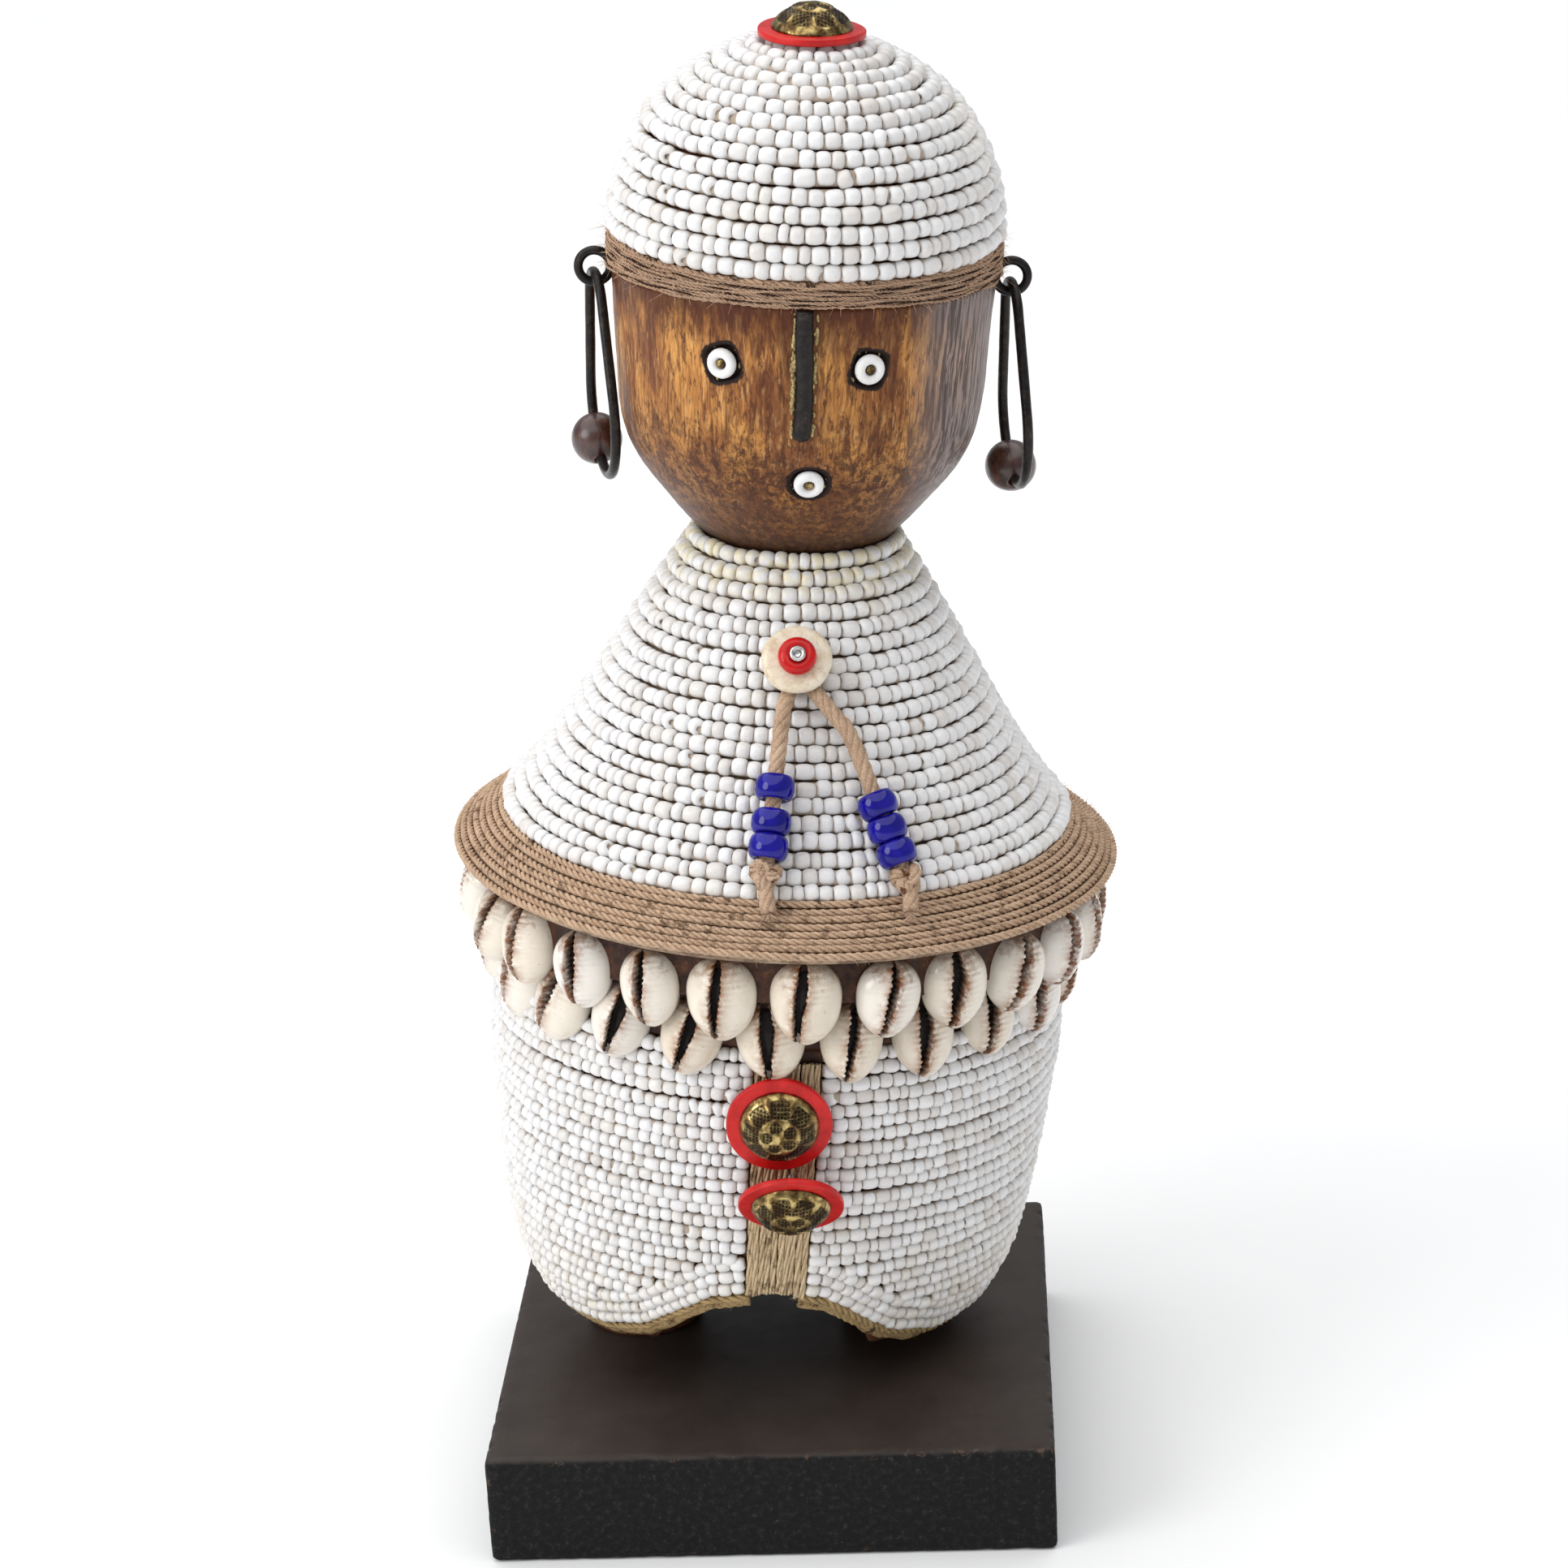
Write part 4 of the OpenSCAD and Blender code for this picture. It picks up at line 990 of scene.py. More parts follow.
def make_rim():
    """Rough cords round the cap's rim, spread from a narrow band in front to a wide one behind, with thin strands
    over them."""
    rng = random.Random(31)
    heap = Heap()
    radius = CORD_SEAT_R + CAP_CORD_D / 2 + GAP
    a = np.arange(RIM_STEPS) * TAU / RIM_STEPS
    wide = np.maximum(1, (2.07 - 0.97 * np.cos(a)) / 2.0)[:, None]
    for share, stain, thick in RIM_CORDS:
        path = ring_path(radius, CAP_CORD_Z + 2 * CAP_CORD_RISE * share, RIM_STEPS)
        path[:, 2] += ripple(rng, a, (0.14, 3), (0.10, 13))
        path = moved(path, tilted(CAP_TILT * share))
        strands = Heap()
        out = outward(path)
        add_strand(strands, rng, path, thick, out, True, 4, rng.uniform(7, 10), 6, mask=stain)
        for points in strands.points:
            rows = points.reshape(RIM_STEPS, -1, 3)
            rows[..., 2] = path[:, None, 2] + (rows[..., 2] - path[:, None, 2]) * wide
        points, quads, tris, values = strands.gathered()
        heap.add(points, quads, tris, *values.T)
        add_fibres(heap, rng, path, unit(out + (0, 0, 0.3)), RIM_FIBRES, (1.2, 4.2), 0.07)
    for k in range(RIM_THREADS):
        share = (k + 0.5) / RIM_THREADS + rng.uniform(-0.03, 0.03)
        path = ring_path(radius + 1.0, CAP_CORD_Z - 0.4 + (2 * CAP_CORD_RISE + 0.6) * share, RIM_STEPS)
        path[:, 2] += sum(rng.uniform(-0.22, 0.22) * np.sin(j * a + rng.uniform(0, 6)) for j in (2, 5, 9, 17))
        path[:, :2] *= (1 + ripple(rng, a, (0.004, 23)))[:, None]
        path = moved(path, tilted(CAP_TILT * share))
        thick, lay, stain = (0.42, 1.6, 1.9) if k % 3 == 1 else (0.62, 2.4, 0.0)
        add_strand(heap, rng, path, thick, outward(path), True, 2, lay, 5, mask=stain)
    piece("cap_rim_cords", heap, RIM_JUTE)


def make_brim():
    rng = random.Random(32)
    heap = Heap()
    for i, stain in enumerate(BRIM_STAINS[:BRIM_CORDS]):
        radius, height = BRIM_START + BRIM_DIR * BRIM_PITCH * i
        steps = int(TAU * radius / BRIM_STEP)
        path = ring_path(radius, height, steps)
        path[:, 2] += ripple(rng, np.arange(steps) * TAU / steps, (0.12, 3), (0.06, 11))
        add_strand(heap, rng, path, BRIM_CORD_D, outward(path), True, 3, BRIM_LAY, 6, mask=stain)
        add_fibres(heap, rng, path, unit(path * (1, 1, 0) + (0, 0, 15)), BRIM_FIBRES)
    piece("cape_brim_cords", heap, BRIM_JUTE)


def make_front_band():
    """Flat strands of loosely twisted fibre, side by side down the front."""
    rng = random.Random(33)
    heap = Heap()
    for k in range(BAND_CORDS):
        az = BAND_MID + BAND_HALF * (2 * (k + 0.5) / BAND_CORDS - 1) * 0.98
        low = float(hem_height(az)) - 0.4 + rng.uniform(-0.35, 0.3)
        h = np.linspace(SKIN_TOP + 4, low, 120)
        wander = ripple(rng, h, (0.10, 1 / 11), (0.05, 1 / 4))
        deep = 1.25 + rng.uniform(-0.15, 0.15) + ripple(rng, h, (0.12, 1 / 5))
        path = trunk_point(az + wander, h, deep)
        normals = trunk_normal(np.full_like(h, az), h)
        stain = float(np.clip(rng.gauss(0.35, 0.2), 0, 1))
        add_strand(heap, rng, path + normals * rng.uniform(-0.1, 0.3), rng.uniform(1.3, 1.55), normals, False, 3,
                   rng.uniform(13, 22), 7, mask=stain)
        add_fibres(heap, rng, path, normals, BAND_FIBRES, (0.8, 2))
    piece("front_cord_band", heap, BAND_JUTE)


def make_hem(side, label):
    """Rough cord and dried glue along the beads' lower edge."""
    rng = random.Random(60 + side)
    heap = Heap()
    az = np.linspace(BAND_MID + side * (BAND_HALF - 1), side * 179.9, 420)
    for k, (drop, deep) in enumerate(HEM_CORDS):
        h = hem_height(az) - drop + 0.15 * np.sin(az / 5 + k)
        path, normals = trunk_point(az, h, deep), trunk_normal(az, h)
        add_strand(heap, rng, path, HEM_CORD_D, normals, False, 3, 6, 6, mask=0.35)
        add_fibres(heap, rng, path, normals, HEM_FIBRES, (0.8, 2.2))
    h = hem_height(az) - HEM_GLUE_DROP
    glue = trunk_point(az, h, HEM_GLUE_DEEP)
    lumps = 1.65 + 0.55 * roughness_of(glue, 3.5, 5 + side)
    add_tube(heap, glue, lumps, 8, normals=trunk_normal(az, h), flat=0.75, tint=0.15, mask=1.0)
    piece(f"leg_hem_{label}", heap, HEM_JUTE)


make_rim()
make_brim()
make_front_band()
make_hem(-1, "left")
make_hem(1, "right")

# ---------- carved head and legs ----------

SEAT_SHAPE = {"left": (3.3, 3.35, 3.4, 20), "right": (3.2, 3.3, 3.4, -12), "mouth": (3.55, 3.55, 2.2, 0)}
SEAT_DEEP = 1.45
HEAD_COLS = 500
LEG_COLS = 96
LEG_TAPER = ([0, 3, 7, 12], [0.58, 0.83, 0.95, 1])
FOOT = [(12.2, -0.6), (12.2, 1), (12.8, 7), (13.2, 14), (11, 22)]
FOOT_X, FOOT_Y = 27, 7
LEG_VOXEL = 1.1


def seat_distance(points, key):
    """1 at the edge of a burnt seat, 0 at its middle."""
    azimuth, radius, height, _ = FACE[key]
    a, b, power, turn = SEAT_SHAPE[key]
    az = np.degrees(np.arctan2(points[:, 0], -points[:, 1])) - azimuth
    x, y = np.radians(az) * radius, (points[:, 2] - height) * (1.18 if key == "mouth" else 1)
    c, s = math.cos(math.radians(turn)), math.sin(math.radians(turn))
    u, v = (x * c + y * s) / a, (-x * s + y * c) / b
    return (np.abs(u) ** power + np.abs(v) ** power) ** (1 / power)


def make_head():
    """Cup-shaped head with three burnt seats and a fine crack. It blends into the cap's tilt above the face."""
    face = along_line(HEAD_LINE, np.linspace(0, run_lengths(HEAD_LINE)[-1], 160))
    dome = CAP_LINE + np.array([-1.5, -1.2])
    profile = np.vstack([[(14.0, 168)], face, [(36.9, 228.2), (36.2, 229.0), (35.9, 235)], dome, [(3, 269.8)]])
    rings = np.stack([ring_path(r, h, HEAD_COLS) for r, h in profile])
    flat = rings.reshape(-1, 3)
    az = np.degrees(np.arctan2(flat[:, 0], -flat[:, 1]))
    height, front = flat[:, 2], flat[:, 1] < 0
    shown = (height > 170) & (height < 233)
    mask, rough = np.zeros(len(flat)), np.zeros(len(flat))
    rough[shown] = (0.22 * roughness_of(flat[shown], 11, 1)
                    + 0.07 * roughness_of(flat[shown] * (1, 1, 0.12), 0.9, 2)
                    + 0.05 * roughness_of(flat[shown], 2.2, 3))
    for key in SEAT_SHAPE:
        d = seat_distance(flat, key)
        sunk = np.where(front, np.clip((1.08 - d) / 0.22, 0, 1), 0)
        rough -= SEAT_DEEP * sunk * sunk * (3 - 2 * sunk)
        mask = np.maximum(mask, np.where(front, np.clip((1.42 - d) / 0.36, 0, 1), 0))
    nose = np.exp(-((np.radians(az + 0.5) * 36) / 2.3) ** 2) * (height > 202.5) * front
    crack = np.exp(-(((az + 34 + 0.5 * np.sin(height / 3)) * 0.63) / 0.28) ** 2) * np.clip(
        1 - np.abs(height - 203) / 9, 0, 1)
    mask = np.maximum.reduce([mask, 0.42 * nose, 0.8 * crack])
    rough -= 0.5 * crack
    rings = (flat + outward(flat) * rough[:, None]).reshape(rings.shape)
    for ring, h in zip(rings, profile[:, 1]):
        ring[:] = moved(ring, tilted(CAP_TILT * float(np.clip((h - HEAD_TOP) / COLLAR_H, 0, 1))))
    heap = Heap().add(*sleeve(rings), mask=np.concatenate([mask, [0, 0]]))
    piece("carved_head", heap, WOOD, stands_for="carved_figure")


def make_legs():
    """Lower body with its arch and feet, cut and then softened."""
    heights = np.concatenate([[-3], TRUNK_LINE[TRUNK_LINE[:, 1] < SKIN_TOP][:, 1], [108]])
    a = np.linspace(0, 360, LEG_COLS, endpoint=False)
    rings = np.stack([trunk_point(a, max(h, 0) if h < 90 else SKIN_TOP, SKIN_DEEP) for h in heights])
    rings[..., 2] = heights[:, None]
    rings[-1][:, :2] *= 0.93
    rings[..., :2] *= np.interp(heights, *LEG_TAPER)[:, None, None]
    points, quads, tris = sleeve(rings)
    body = solid("legs", moved(points, STANDING), [*quads, *tris])

    half = smooth_line(ARCH, 4)
    outline = np.array([(-x, z) for x, z in half[::-1]] + [(x, z) for x, z in half if x > 0] + [(23, -9), (-23, -9)])
    walls = np.stack([np.stack([outline[:, 0] + TRUNK_X, np.full(len(outline), y), outline[:, 1]], -1)
                      for y in (-80, 80)])
    points, quads, tris = sleeve(walls)
    tunnel = solid("tunnel", moved(points, STANDING), [*quads, *tris])
    modify(body, "BOOLEAN", object=tunnel, operation="DIFFERENCE", solver="EXACT")
    feet = []
    for side in (-1, 1):
        points, quads, tris = lathe(FOOT, 48, shift(FOOT_SHIFT + side * FOOT_X, FOOT_Y, BLOCK_H))
        feet.append(solid("foot", points, [*quads, *tris]))
        modify(body, "BOOLEAN", object=feet[-1], operation="UNION", solver="EXACT")
    modify(body, "REMESH", mode="VOXEL", voxel_size=LEG_VOXEL)
    modify(body, "SMOOTH", factor=0.5, iterations=6)
    points, quads, tris = baked(body, tunnel, *feet)
    points[:, 2] = np.maximum(points[:, 2], BLOCK_H)
    own = moved(points, STANDING.inverted())
    below = own[:, 2] < 40
    push = np.zeros(len(own))
    push[below] = 0.25 * roughness_of(own[below], 4, 8)
    heap = Heap().add(own + outward(own) * push[:, None], quads, tris)
    piece("carved_legs", heap, DARK_WOOD)


make_head()
make_legs()

# ---------- face ----------

EYE_BEAD = (2.9, 2.2, 0.97)
FACE_PIN = [(0.9, -7.9), (0.9, 0.75), (0.55, 1.0), (0, 1.05)]
NOSE_R = 1.8
NOSE_FLECKS, SEAT_FLECKS = 110, 16
LUMP = [(0.25, -1), (0.85, -0.5), (1, 0), (0.8, 0.6), (0.2, 1)]


def make_face():
    for key, name in (("left", "eye_bead_left"), ("right", "eye_bead_right"), ("mouth", "mouth_bead")):
        heap = Heap()
        add_bead(heap, seat_matrix(FACE[key], 0.1), *EYE_BEAD, 48, 0.85)
        piece(name, heap, GLASS)
    pins = Heap()
    for seat in FACE.values():
        pins.add(*lathe(rounded(FACE_PIN, 0.2), 24, seat_matrix(seat)), mask=0.35)
    piece("face_pins", pins, BRASS)


def make_nose():
    """Iron bar with rounded ends, and flecks of gold glue along it and round the seats."""
    top, low = np.array(NOSE_TOP), np.array(NOSE_LOW)
    s = np.linspace(-0.065, 1, 60)
    line = np.stack([-0.3 + 0.25 * np.sin(s * 5), -(low[0] + (top[0] - low[0]) * s) - 0.1,
                     low[1] + (top[1] - low[1]) * s], -1)
    end = np.clip((s + 0.068) / 0.07, 0.02, 1)
    radius = NOSE_R * np.sqrt(end * (2 - end)) * (0.965 + 0.03 * np.cos(s * 9))
    bar = Heap()
    add_tube(bar, line, radius, 20, normals=np.tile((0, -1.0, 0), (60, 1)))
    piece("nose_bar", bar, IRON)
    rng = random.Random(71)
    glue = Heap()
    for _ in range(NOSE_FLECKS):
        t = rng.random()
        spot = np.array([-2.2 + rng.gauss(0, 0.16), -(35.5 + 1.6 * t) - 0.3, 203 + 24 * t])
        if rng.random() < 0.25:
            spot[0] += 4.0
        size = rng.uniform(0.18, 0.42)
        points, quads, tris = lathe(LUMP, 8)
        glue.add(points * (size, size * 0.7, size * rng.uniform(1, 3.5)) + spot, quads, tris, tint=rng.random())
    for seat in FACE.values():
        for _ in range(SEAT_FLECKS):
            angle = rng.uniform(0, 6.3)
            spot = np.array([math.cos(angle) * rng.uniform(3.2, 3.9), math.sin(angle) * rng.uniform(3.2, 3.9), -0.75])
            size = rng.uniform(0.12, 0.3)
            points, quads, tris = lathe(LUMP, 8)
            points = moved(points * (size, size * rng.uniform(1, 2.4), size * 0.8) + spot, seat_matrix(seat))
            glue.add(points, quads, tris, tint=rng.random())
    piece("glue_flecks", glue, GOLD)


make_face()
make_nose()

# ---------- studs ----------

BUTTON_COLS, BUTTON_ROWS = 160, 56
OUTER_PATCHES, INNER_PATCHES = 8, 5
OUTER_R, INNER_R = 5.45, 2.45
OUTER_WIDE, OUTER_TALL, INNER_WIDE = 1.85, 1.35, 1.2
HATCH = 9.5


def make_stud(name, place, seed, turn):
    """Red washer and domed button. Hatched patches are sunk into the button, in two rings."""
    rng = random.Random(seed)
    warp = rng.uniform(0, 6.3)

    def bend(rings, a):
        rings[..., 2] += 0.12 * np.sin(2 * a + warp) * (np.hypot(rings[..., 0], rings[..., 1]) / WASHER_R) ** 2
        rings[..., :2] *= (1 + 0.004 * np.sin(5 * a + warp))[None, :, None]

    profile = rounded([(STUD_HOLE, 0), (WASHER_R, 0), (WASHER_R, WASHER_T), (STUD_HOLE, WASHER_T)], 0.45, 5)
    piece(f"{name}_washer", Heap().add(*lathe(profile, 96, place, bend)), RED)

    sphere_r = (BUTTON_R ** 2 + BUTTON_H ** 2) / (2 * BUTTON_H)
    r = BUTTON_R * np.linspace(0.012, 1, BUTTON_ROWS)
    z = (BUTTON_H - sphere_r + np.sqrt(np.maximum(sphere_r ** 2 - r ** 2, 0))) * 0.9 + 0.35
    rr, aa = np.meshgrid(r, np.linspace(0, TAU, BUTTON_COLS, endpoint=False), indexing="ij")
    x, y, zz = rr * np.cos(aa), rr * np.sin(aa), np.repeat(z[:, None], BUTTON_COLS, 1)
    patch = np.zeros_like(rr)
    for k in range(OUTER_PATCHES):
        da = (aa - turn - TAU * k / OUTER_PATCHES + math.pi) % TAU - math.pi
        u, v = da * rr / OUTER_WIDE, (rr - OUTER_R) / OUTER_TALL
        patch = np.maximum(patch, np.clip((1.12 - np.maximum(np.abs(u), np.abs(v))) / 0.16, 0, 1))
    for k in range(INNER_PATCHES):
        c = turn + 0.3 + TAU * k / INNER_PATCHES
        u, v = (x - INNER_R * math.cos(c)) / INNER_WIDE, (y - INNER_R * math.sin(c)) / INNER_WIDE
        patch = np.maximum(patch, np.clip((1.1 - np.hypot(u, v)) / 0.16, 0, 1))
    hatch = np.maximum(np.cos(x * HATCH), np.cos(y * HATCH))
    zz -= patch * (0.18 + 0.10 * np.clip(hatch, 0, 1))
    zz += 0.10 * np.cos(8 * (aa - turn) + math.pi) * (rr / BUTTON_R) ** 2
    worn = np.clip(patch * (0.62 + 0.38 * (hatch < 0.55)), 0, 1)
    inner = np.stack([x, y, zz - 0.8], -1)[::-1]
    edge = np.stack([x[-1] * 1.01, y[-1] * 1.01, zz[-1] - 0.25], -1)[None]
    points, quads, tris = sleeve(np.concatenate([np.stack([x, y, zz], -1), edge, inner[::6]]))
    mask = np.concatenate([worn.ravel(), np.full(len(points) - worn.size, 0.6)])
    button = Heap().add(moved(points, place @ shift(0, 0, WASHER_T + GAP)), quads, tris, mask=mask)
    piece(f"{name}_button", button, BRASS)


make_stud("crown", CROWN_STUD, 81, 0.4)
make_stud("upper", UPPER_STUD, 82, math.pi / 2)
make_stud("lower", LOWER_STUD, 83, math.pi / 2 + 0.35)

# ---------- cowries ----------

SHELL_ROWS, SHELL_FRONT, SHELL_BACK = 84, 46, 7
SHELL_KINDS = ((0.0, 0.55), (0.5, 0.72), (-0.5, 0.42), (0.25, 0.86))
SLIT_DEEP = 3.6
TOOTH_PITCH = 1.15
FACING_TURN = 17


def shell_template(lean, wide):
    """One cowrie, its opening outwards: slit along Z, facing -Y. Gives rings of points, a mask of the slit's opening
    (painted near-black as shade) and of the brown stain on its lips, and place along.
    """
    v = np.sin(np.linspace(-1, 1, SHELL_ROWS) * math.pi / 2 * 0.985)
    near = np.sinh(np.linspace(-1, 1, SHELL_FRONT) * 2.2) / math.sinh(2.2) * 86
    theta = np.radians(np.concatenate([near - 8, np.linspace(98, 246, SHELL_BACK)]))
    width = np.clip(1 - np.abs(v) ** 2.35, 0, 1) ** (0.50 + 0.12 * np.clip(-v, 0, 1)) * (1 + 0.12 * v - 0.06 * v * v)
    z = v * SHELL_L / 2
    x = (SHELL_W / 2 * width)[:, None] * np.sin(theta)[None]
    outside = (np.cos(theta) > 0)[None]
    y = -np.where(outside, SHELL_T, 1.0) * (width ** 0.8)[:, None] * np.cos(theta)[None]
    middle = -0.8 + 0.55 * np.sin(v * 1.9 + lean) - 0.25 * lean
    ends = np.clip((1 - np.abs(v)) / 0.14, 0, 1) ** 0.7
    half = (0.66 + wide * np.exp(-((v - 0.25) / 0.60) ** 2)) * ends
    teeth = np.abs(np.sin(math.pi * (z + 0.3 * lean) / TOOTH_PITCH)) ** 1.3 * (0.75 + 0.25 * np.sin(z * 1.7 + lean * 9))
    left, right = middle - half + 0.30 * teeth * ends, middle + half - 0.38 * np.roll(teeth, 3) * ends
    middle, left, right, teeth, ends = (s[:, None] for s in (middle, left, right, teeth, ends))
    room = np.minimum(x - left, right - x)
    open_ = np.clip(room / 0.16 + 0.35, 0, 1) * outside * (ends > 0)
    off = np.clip(-room, 0, None)
    lip = np.exp(-(off / 1.6) ** 2) * ends * outside
    ridge = (teeth - 0.55) * np.exp(-off / np.where(x > middle, 2.6, 1.1)) * ends * outside
    y = y - 0.35 * lip * (1 - open_) + SLIT_DEEP * open_ * ends - 0.50 * ridge * (1 - open_)
    rings = np.stack([x, y, np.broadcast_to(z[:, None], x.shape)], -1)
    # Mask for the slit's opening, which is painted near-black as shade, and for a halo round it that takes the brown
    # stain on the lips.
    slit_shade_and_lip_stain = np.clip(open_ + 0.48 * np.exp(-off / 1.1) * outside * (1 - open_) * ends, 0, 1)
    return rings, slit_shade_and_lip_stain, np.broadcast_to((v[:, None] + 1) / 2, x.shape)


def make_shells(name, count, first, radius, height, seed, tilt):
    """A ring of shells that hang a little unevenly. Those at the sides turn a little towards the front."""
    rng = random.Random(seed)
    kinds = [shell_template(*kind) for kind in SHELL_KINDS]
    heap = Heap()
    for k in range(count):
        rings, slit_shade_and_lip_stain, where = kinds[rng.randrange(len(kinds))]
        az = first + 360 * k / count + rng.uniform(-1.2, 1.2)
        size = rng.uniform(0.95, 1.06)
        local = rings * (size * rng.uniform(0.95, 1.05), rng.uniform(0.94, 1.08), size)
        place = (rotated(az, "Z") @ shift(0, -radius + rng.uniform(-0.5, 0.3), height + rng.uniform(-1.0, 0.8))
                 @ rotated(tilt + rng.uniform(-5, 3), "X") @ rotated(rng.uniform(-13, 13), "Y")
                 @ rotated(rng.uniform(-16, 16) - FACING_TURN * math.sin(math.radians(az)), "Z"))
        points, quads, tris = sleeve(local)
        heap.add(moved(points, place), quads, tris, rng.random(), np.concatenate([slit_shade_and_lip_stain.ravel(), [0, 0]]),
                 np.concatenate([where.ravel(), [0, 1]]))
    piece(name, heap, SHELL)


make_shells("cowries_upper", 25, 3, 60.2, 99.0, 91, -5)
make_shells("cowries_lower", 23, -3, 55.9, 89.0, 92, -11)

# ---------- pendant ----------

DISC = [(STUD_HOLE, 2.7), (6.1, 2.7), (6.7, 3.2), (6.7, 4.2), (5.9, 4.9), (2.6, 4.95), (STUD_HOLE, 4.75)]
RING_LIFT = 6.45
RING_BEAD = (3.7, 3.0, 1.0)
PENDANT_PIN = [(0.8, -15), (0.8, 7.7), (1.5, 7.9), (1.55, 8.6), (1.2, 8.85), (0.75, 8.6), (0.6, 7.9), (0.1, 7.8)]


def make_pendant():
    place = seat_matrix(PENDANT, DISC_LIFT)

    def uneven(rings, a):
        rings[..., :2] *= (1 + 0.012 * np.sin(2 * a + 1) + 0.008 * np.sin(5 * a))[None, :, None]
        rings[..., 2] += 0.10 * np.sin(a + 2)[None, :]

    piece("pendant_disc", Heap().add(*lathe(rounded(DISC, 0.5, 5), 96, place, uneven)), BONE)
    ring = Heap()
    add_bead(ring, place @ shift(0, 0, RING_LIFT), *RING_BEAD, 56)
    piece("pendant_ring_bead", ring, RED_GLASS)
    piece("pendant_pin", Heap().add(*lathe(rounded(PENDANT_PIN, 0.15, 3), 32, place)), STEEL)


make_pendant()

# ---------- earrings ----------


def hoop_line(steps=120):
    """Centre line of the hoop in the YZ plane, from its top wire centre at the origin."""
    reach = HOOP_H - HOOP_TOP_R - HOOP_LOW_R
    lean_out = math.asin((HOOP_LOW_R - HOOP_TOP_R) / reach)
    half = steps // 4
    top = lean_out + (math.pi - 2 * lean_out) * np.arange(half + 1) / half
    low = math.pi - lean_out + (math.pi + 2 * lean_out) * np.arange(2 * half + 1) / (2 * half)
    line = [(0, HOOP_TOP_R * math.cos(t), -HOOP_TOP_R + HOOP_TOP_R * math.sin(t)) for t in top]
    line += [(0, HOOP_LOW_R * math.cos(t), -HOOP_TOP_R - reach + HOOP_LOW_R * math.sin(t)) for t in low]
    p = np.array(line + line[:1])
    return along_line(p, np.linspace(0, run_lengths(p)[-1], 240, endpoint=False))


def make_earring(side):
    eye, way, yaw, ball_at = EARRINGS[side]
    hinge = STANDING @ Vector((eye[0], eye[1], eye[2] + HINGE_RISE))
    hang = WORLD @ shift(*hinge) @ rotated(yaw, "Z")
    line = hoop_line()
    wear = 1 + 0.035 * roughness_of(line, 5, 6 + way) + 0.02 * roughness_of(line, 1.6, 9 + way)
    hoop = Heap()
    add_tube(hoop, line, HOOP_WIRE / 2 * wear, 14, True, np.cross(tangents(line, True), (1, 0, 0)))
    piece(f"earring_hoop_{side}", hoop, IRON, f"{side}_earring", hang)

    t = math.radians(ball_at)
    centre = np.array([0, HOOP_LOW_R * math.cos(t), -(HOOP_H - HOOP_LOW_R) - HOOP_LOW_R * math.sin(t)])
    r = BALL_D / 2
    mouth = math.asin(1.5 / r)
    arc = [(r * math.sin(b), r * math.cos(b)) for b in np.linspace(mouth, math.pi - mouth, 40)]
    profile = [(BALL_HOLE_R, -2.0), (BALL_HOLE_R, 2.0), (1.15, arc[0][1] - 0.7), *arc,
               (1.15, arc[-1][1] + 0.7), (BALL_HOLE_R, -2.0)]
    points, quads, tris = lathe(profile, 56, stood_on((0, -math.sin(t), -math.cos(t)), centre))
    points = points + unit(points - centre) * (0.10 * roughness_of(points, 4, 3 + way))[:, None]
    piece(f"earring_ball_{side}", Heap().add(points, quads, tris), BALL_WOOD, f"{side}_earring", hang)

    wire = Heap()
    centre = np.array(eye)
    ring = centre + turned([(EYE_R, 0)], 72)[0][:, [0, 2, 1]]
    add_tube(wire, ring, EYE_WIRE / 2 * (1 + 0.04 * roughness_of(ring, 2, 7)), 14, True, unit(ring - centre))
    shank = centre - np.array([way * (EYE_R - 0.4), 0, 0]) + np.linspace(0, 1, 14)[:, None] * (-way * SHANK_L, 0, 0.2)
    add_tube(wire, shank, EYE_WIRE / 2, 12)
    piece(f"earring_eye_{side}", wire, IRON)


for earring_side in EARRINGS:
    make_earring(earring_side)

# ---------- block ----------

BLOCK_FACES = [(0, 1, 3, 2), (4, 6, 7, 5), (0, 4, 5, 1), (2, 3, 7, 6), (0, 2, 6, 4), (1, 5, 7, 3)]
BLOCK_VOXEL = 0.9
BEVEL = 1.1
CHIP_DEEP = 1.1


def make_block():
    """Painted block with sawn sides, a smooth top and small chips along its edges."""
    half = BLOCK_W / 2
    corners = [(x, y, z) for x in (-half, half) for y in (-half, half) for z in (0, BLOCK_H)]
    block = solid("block", corners, BLOCK_FACES)
    modify(block, "BEVEL", width=BEVEL, segments=4)
    modify(block, "REMESH", mode="VOXEL", voxel_size=BLOCK_VOXEL)
    p, quads, tris = baked(block)
    half_size = np.array([half, half, BLOCK_H / 2])
    from_middle = p - (0, 0, BLOCK_H / 2)
    room = half_size - np.abs(from_middle)
    edge = np.clip(1 - np.sort(room, axis=1)[:, 1] / 1.8, 0, 1)
    chip = np.clip(roughness_of(p, 2.6, 1) - 0.15, 0, 1) * edge
    sawn = (room[:, 2] > 1.2) & (p[:, 2] > 0.5)
    push = -CHIP_DEEP * chip + np.where(sawn, 0.14 * roughness_of(p, 1.6, 2) + 0.10 * roughness_of(p, 6, 3), 0)
    p = p + unit(from_middle / half_size * (room < 3.5)) * push[:, None]
    p[:, 2] = np.clip(p[:, 2], 0, BLOCK_H)
    top = np.clip((p[:, 2] - (BLOCK_H - 0.75)) / 0.5, 0, 1)
    piece("display_block", Heap().add(p, quads, tris, mask=top, along=edge), PAINT, place=WORLD)


make_block()

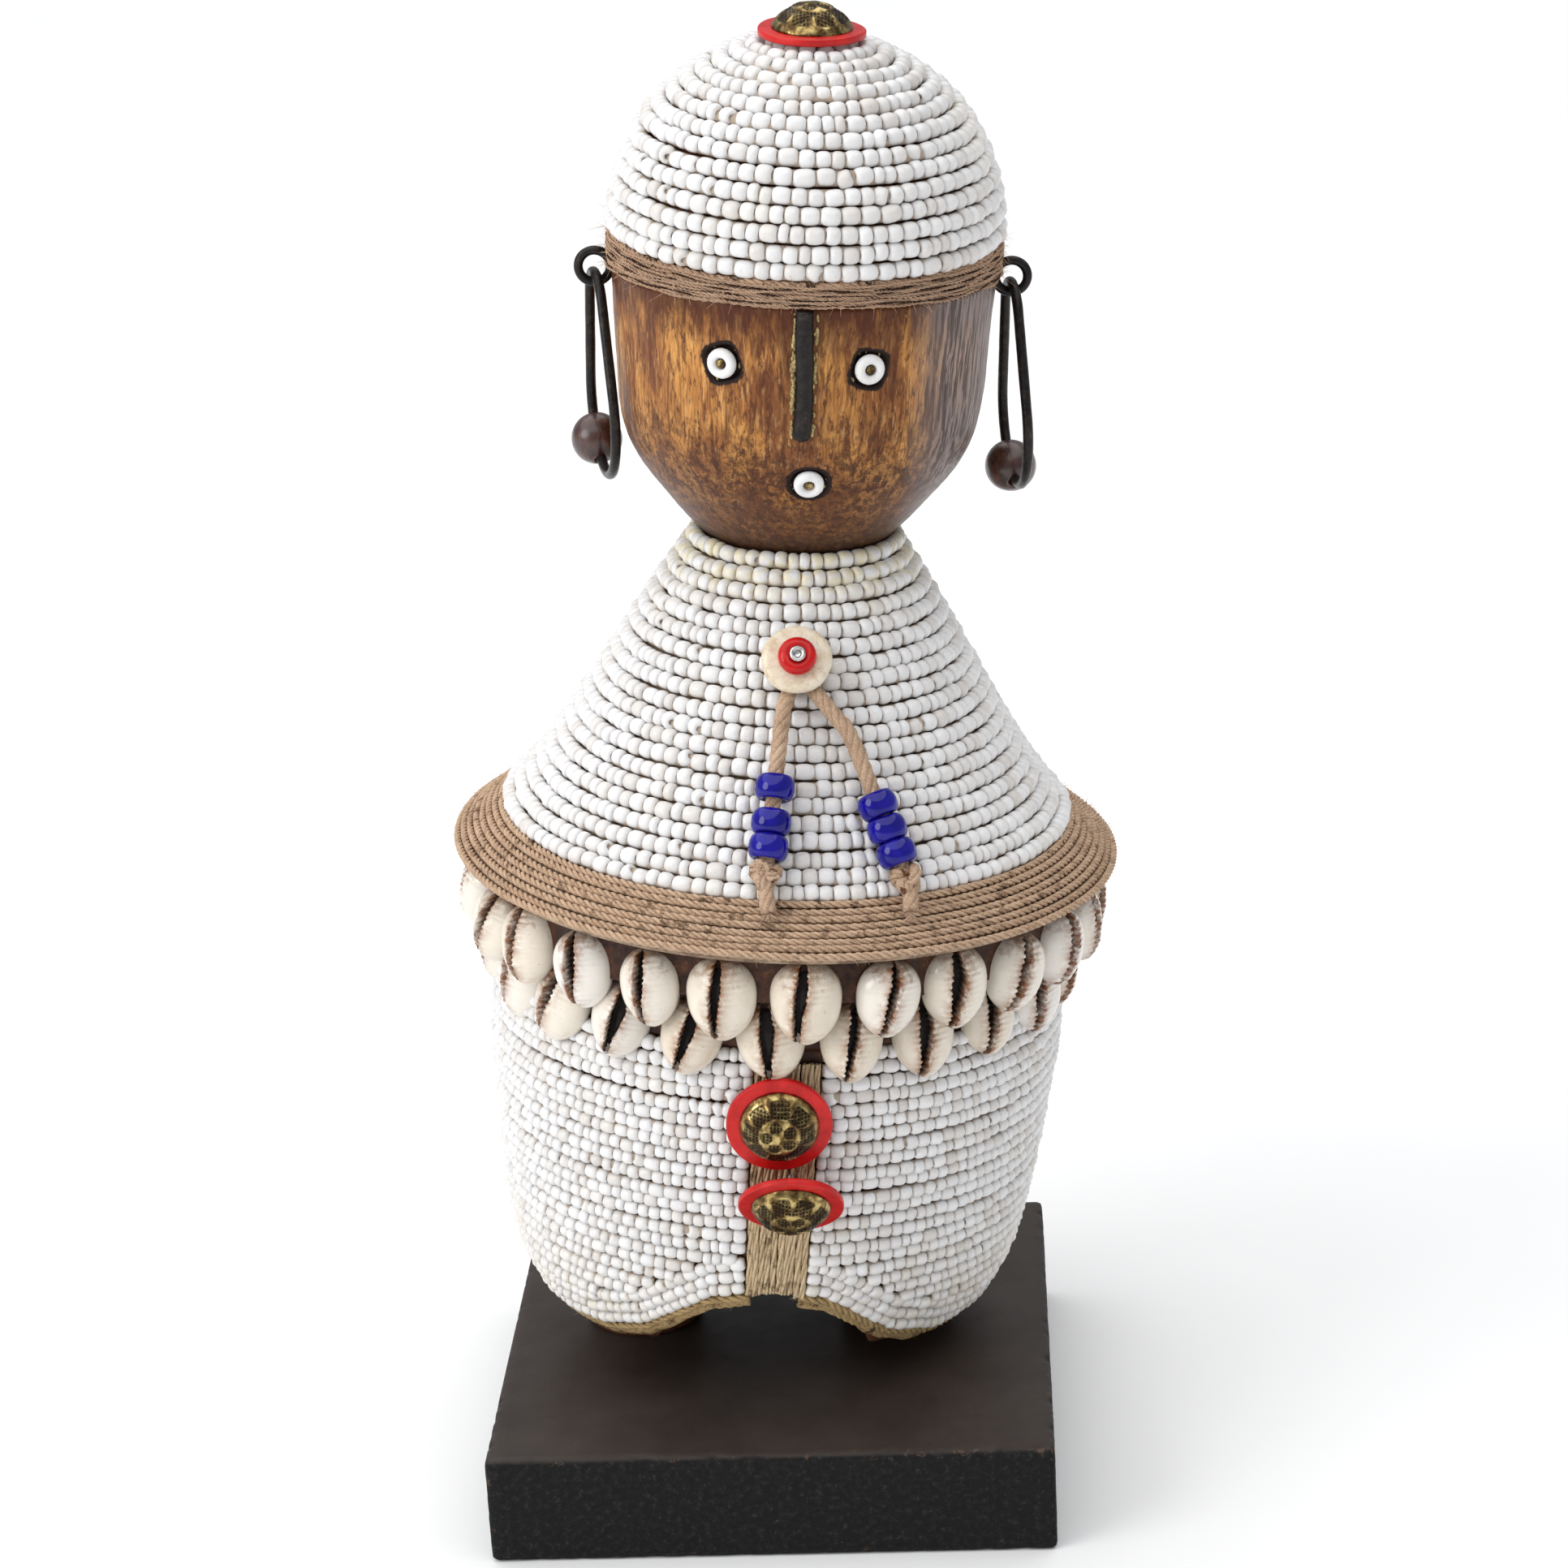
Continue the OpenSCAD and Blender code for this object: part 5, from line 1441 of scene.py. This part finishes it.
# ---------- CAD nodes that stay ----------

KEPT = {
    "mounting_pins": HIDDEN_STEEL,
    "cape_form": HIDE,
    "cowrie_band": RESIN,
    "crown_nail": HIDDEN_STEEL,
    "upper_nail": HIDDEN_STEEL,
    "lower_nail": HIDDEN_STEEL,
}
for node_name, finish in KEPT.items():
    node_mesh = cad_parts[node_name].data
    node_mesh.materials.clear()
    node_mesh.materials.append(finish)

# ---------- floor and light ----------

FLOOR_HALF = 12
SKY_COLOUR, SKY_STRENGTH = (0.95, 0.97, 1.0, 1), 0.40
SUN_ENERGY, SUN_SPREAD, SUN_TILT = 2.5, 100, -8
KEY_PLACE, KEY_SIZE, KEY_POWER, KEY_AIM = (-1.15, -0.75, 0.75), 0.9, 9, (0, 0, 0.15)


def make_stage():
    mesh = bpy.data.meshes.new("floor")
    corners = [(x * FLOOR_HALF, y * FLOOR_HALF, 0) for x, y in ((-1, -1), (1, -1), (1, 1), (-1, 1))]
    mesh.from_pydata(corners, [], [(0, 1, 2, 3)])
    f = Finish("floor", own=False)
    f.tones(f.noise(90, 2), (0.3, (0.86,) * 3), (0.7, (0.88,) * 3))
    mesh.materials.append(f.finish(0.75))
    linked("floor", mesh)
    world = bpy.data.worlds.new("studio")
    world.use_nodes = True
    background = world.node_tree.nodes["Background"]
    background.inputs["Color"].default_value = SKY_COLOUR
    background.inputs["Strength"].default_value = SKY_STRENGTH
    bpy.context.scene.world = world
    bpy.context.scene.view_settings.view_transform = "Standard"


def make_lights():
    sun = bpy.data.lights.new("overhead", "SUN")
    sun.energy, sun.angle = SUN_ENERGY, math.radians(SUN_SPREAD)
    linked("overhead", sun).rotation_euler = (0, math.radians(SUN_TILT), 0)
    key = bpy.data.lights.new("key", "AREA")
    key.shape, key.size, key.energy = "DISK", KEY_SIZE, KEY_POWER
    light = linked("key", key)
    light.location = KEY_PLACE
    light.rotation_euler = (Vector(KEY_AIM) - Vector(KEY_PLACE)).to_track_quat("-Z", "Y").to_euler()


make_stage()
make_lights()
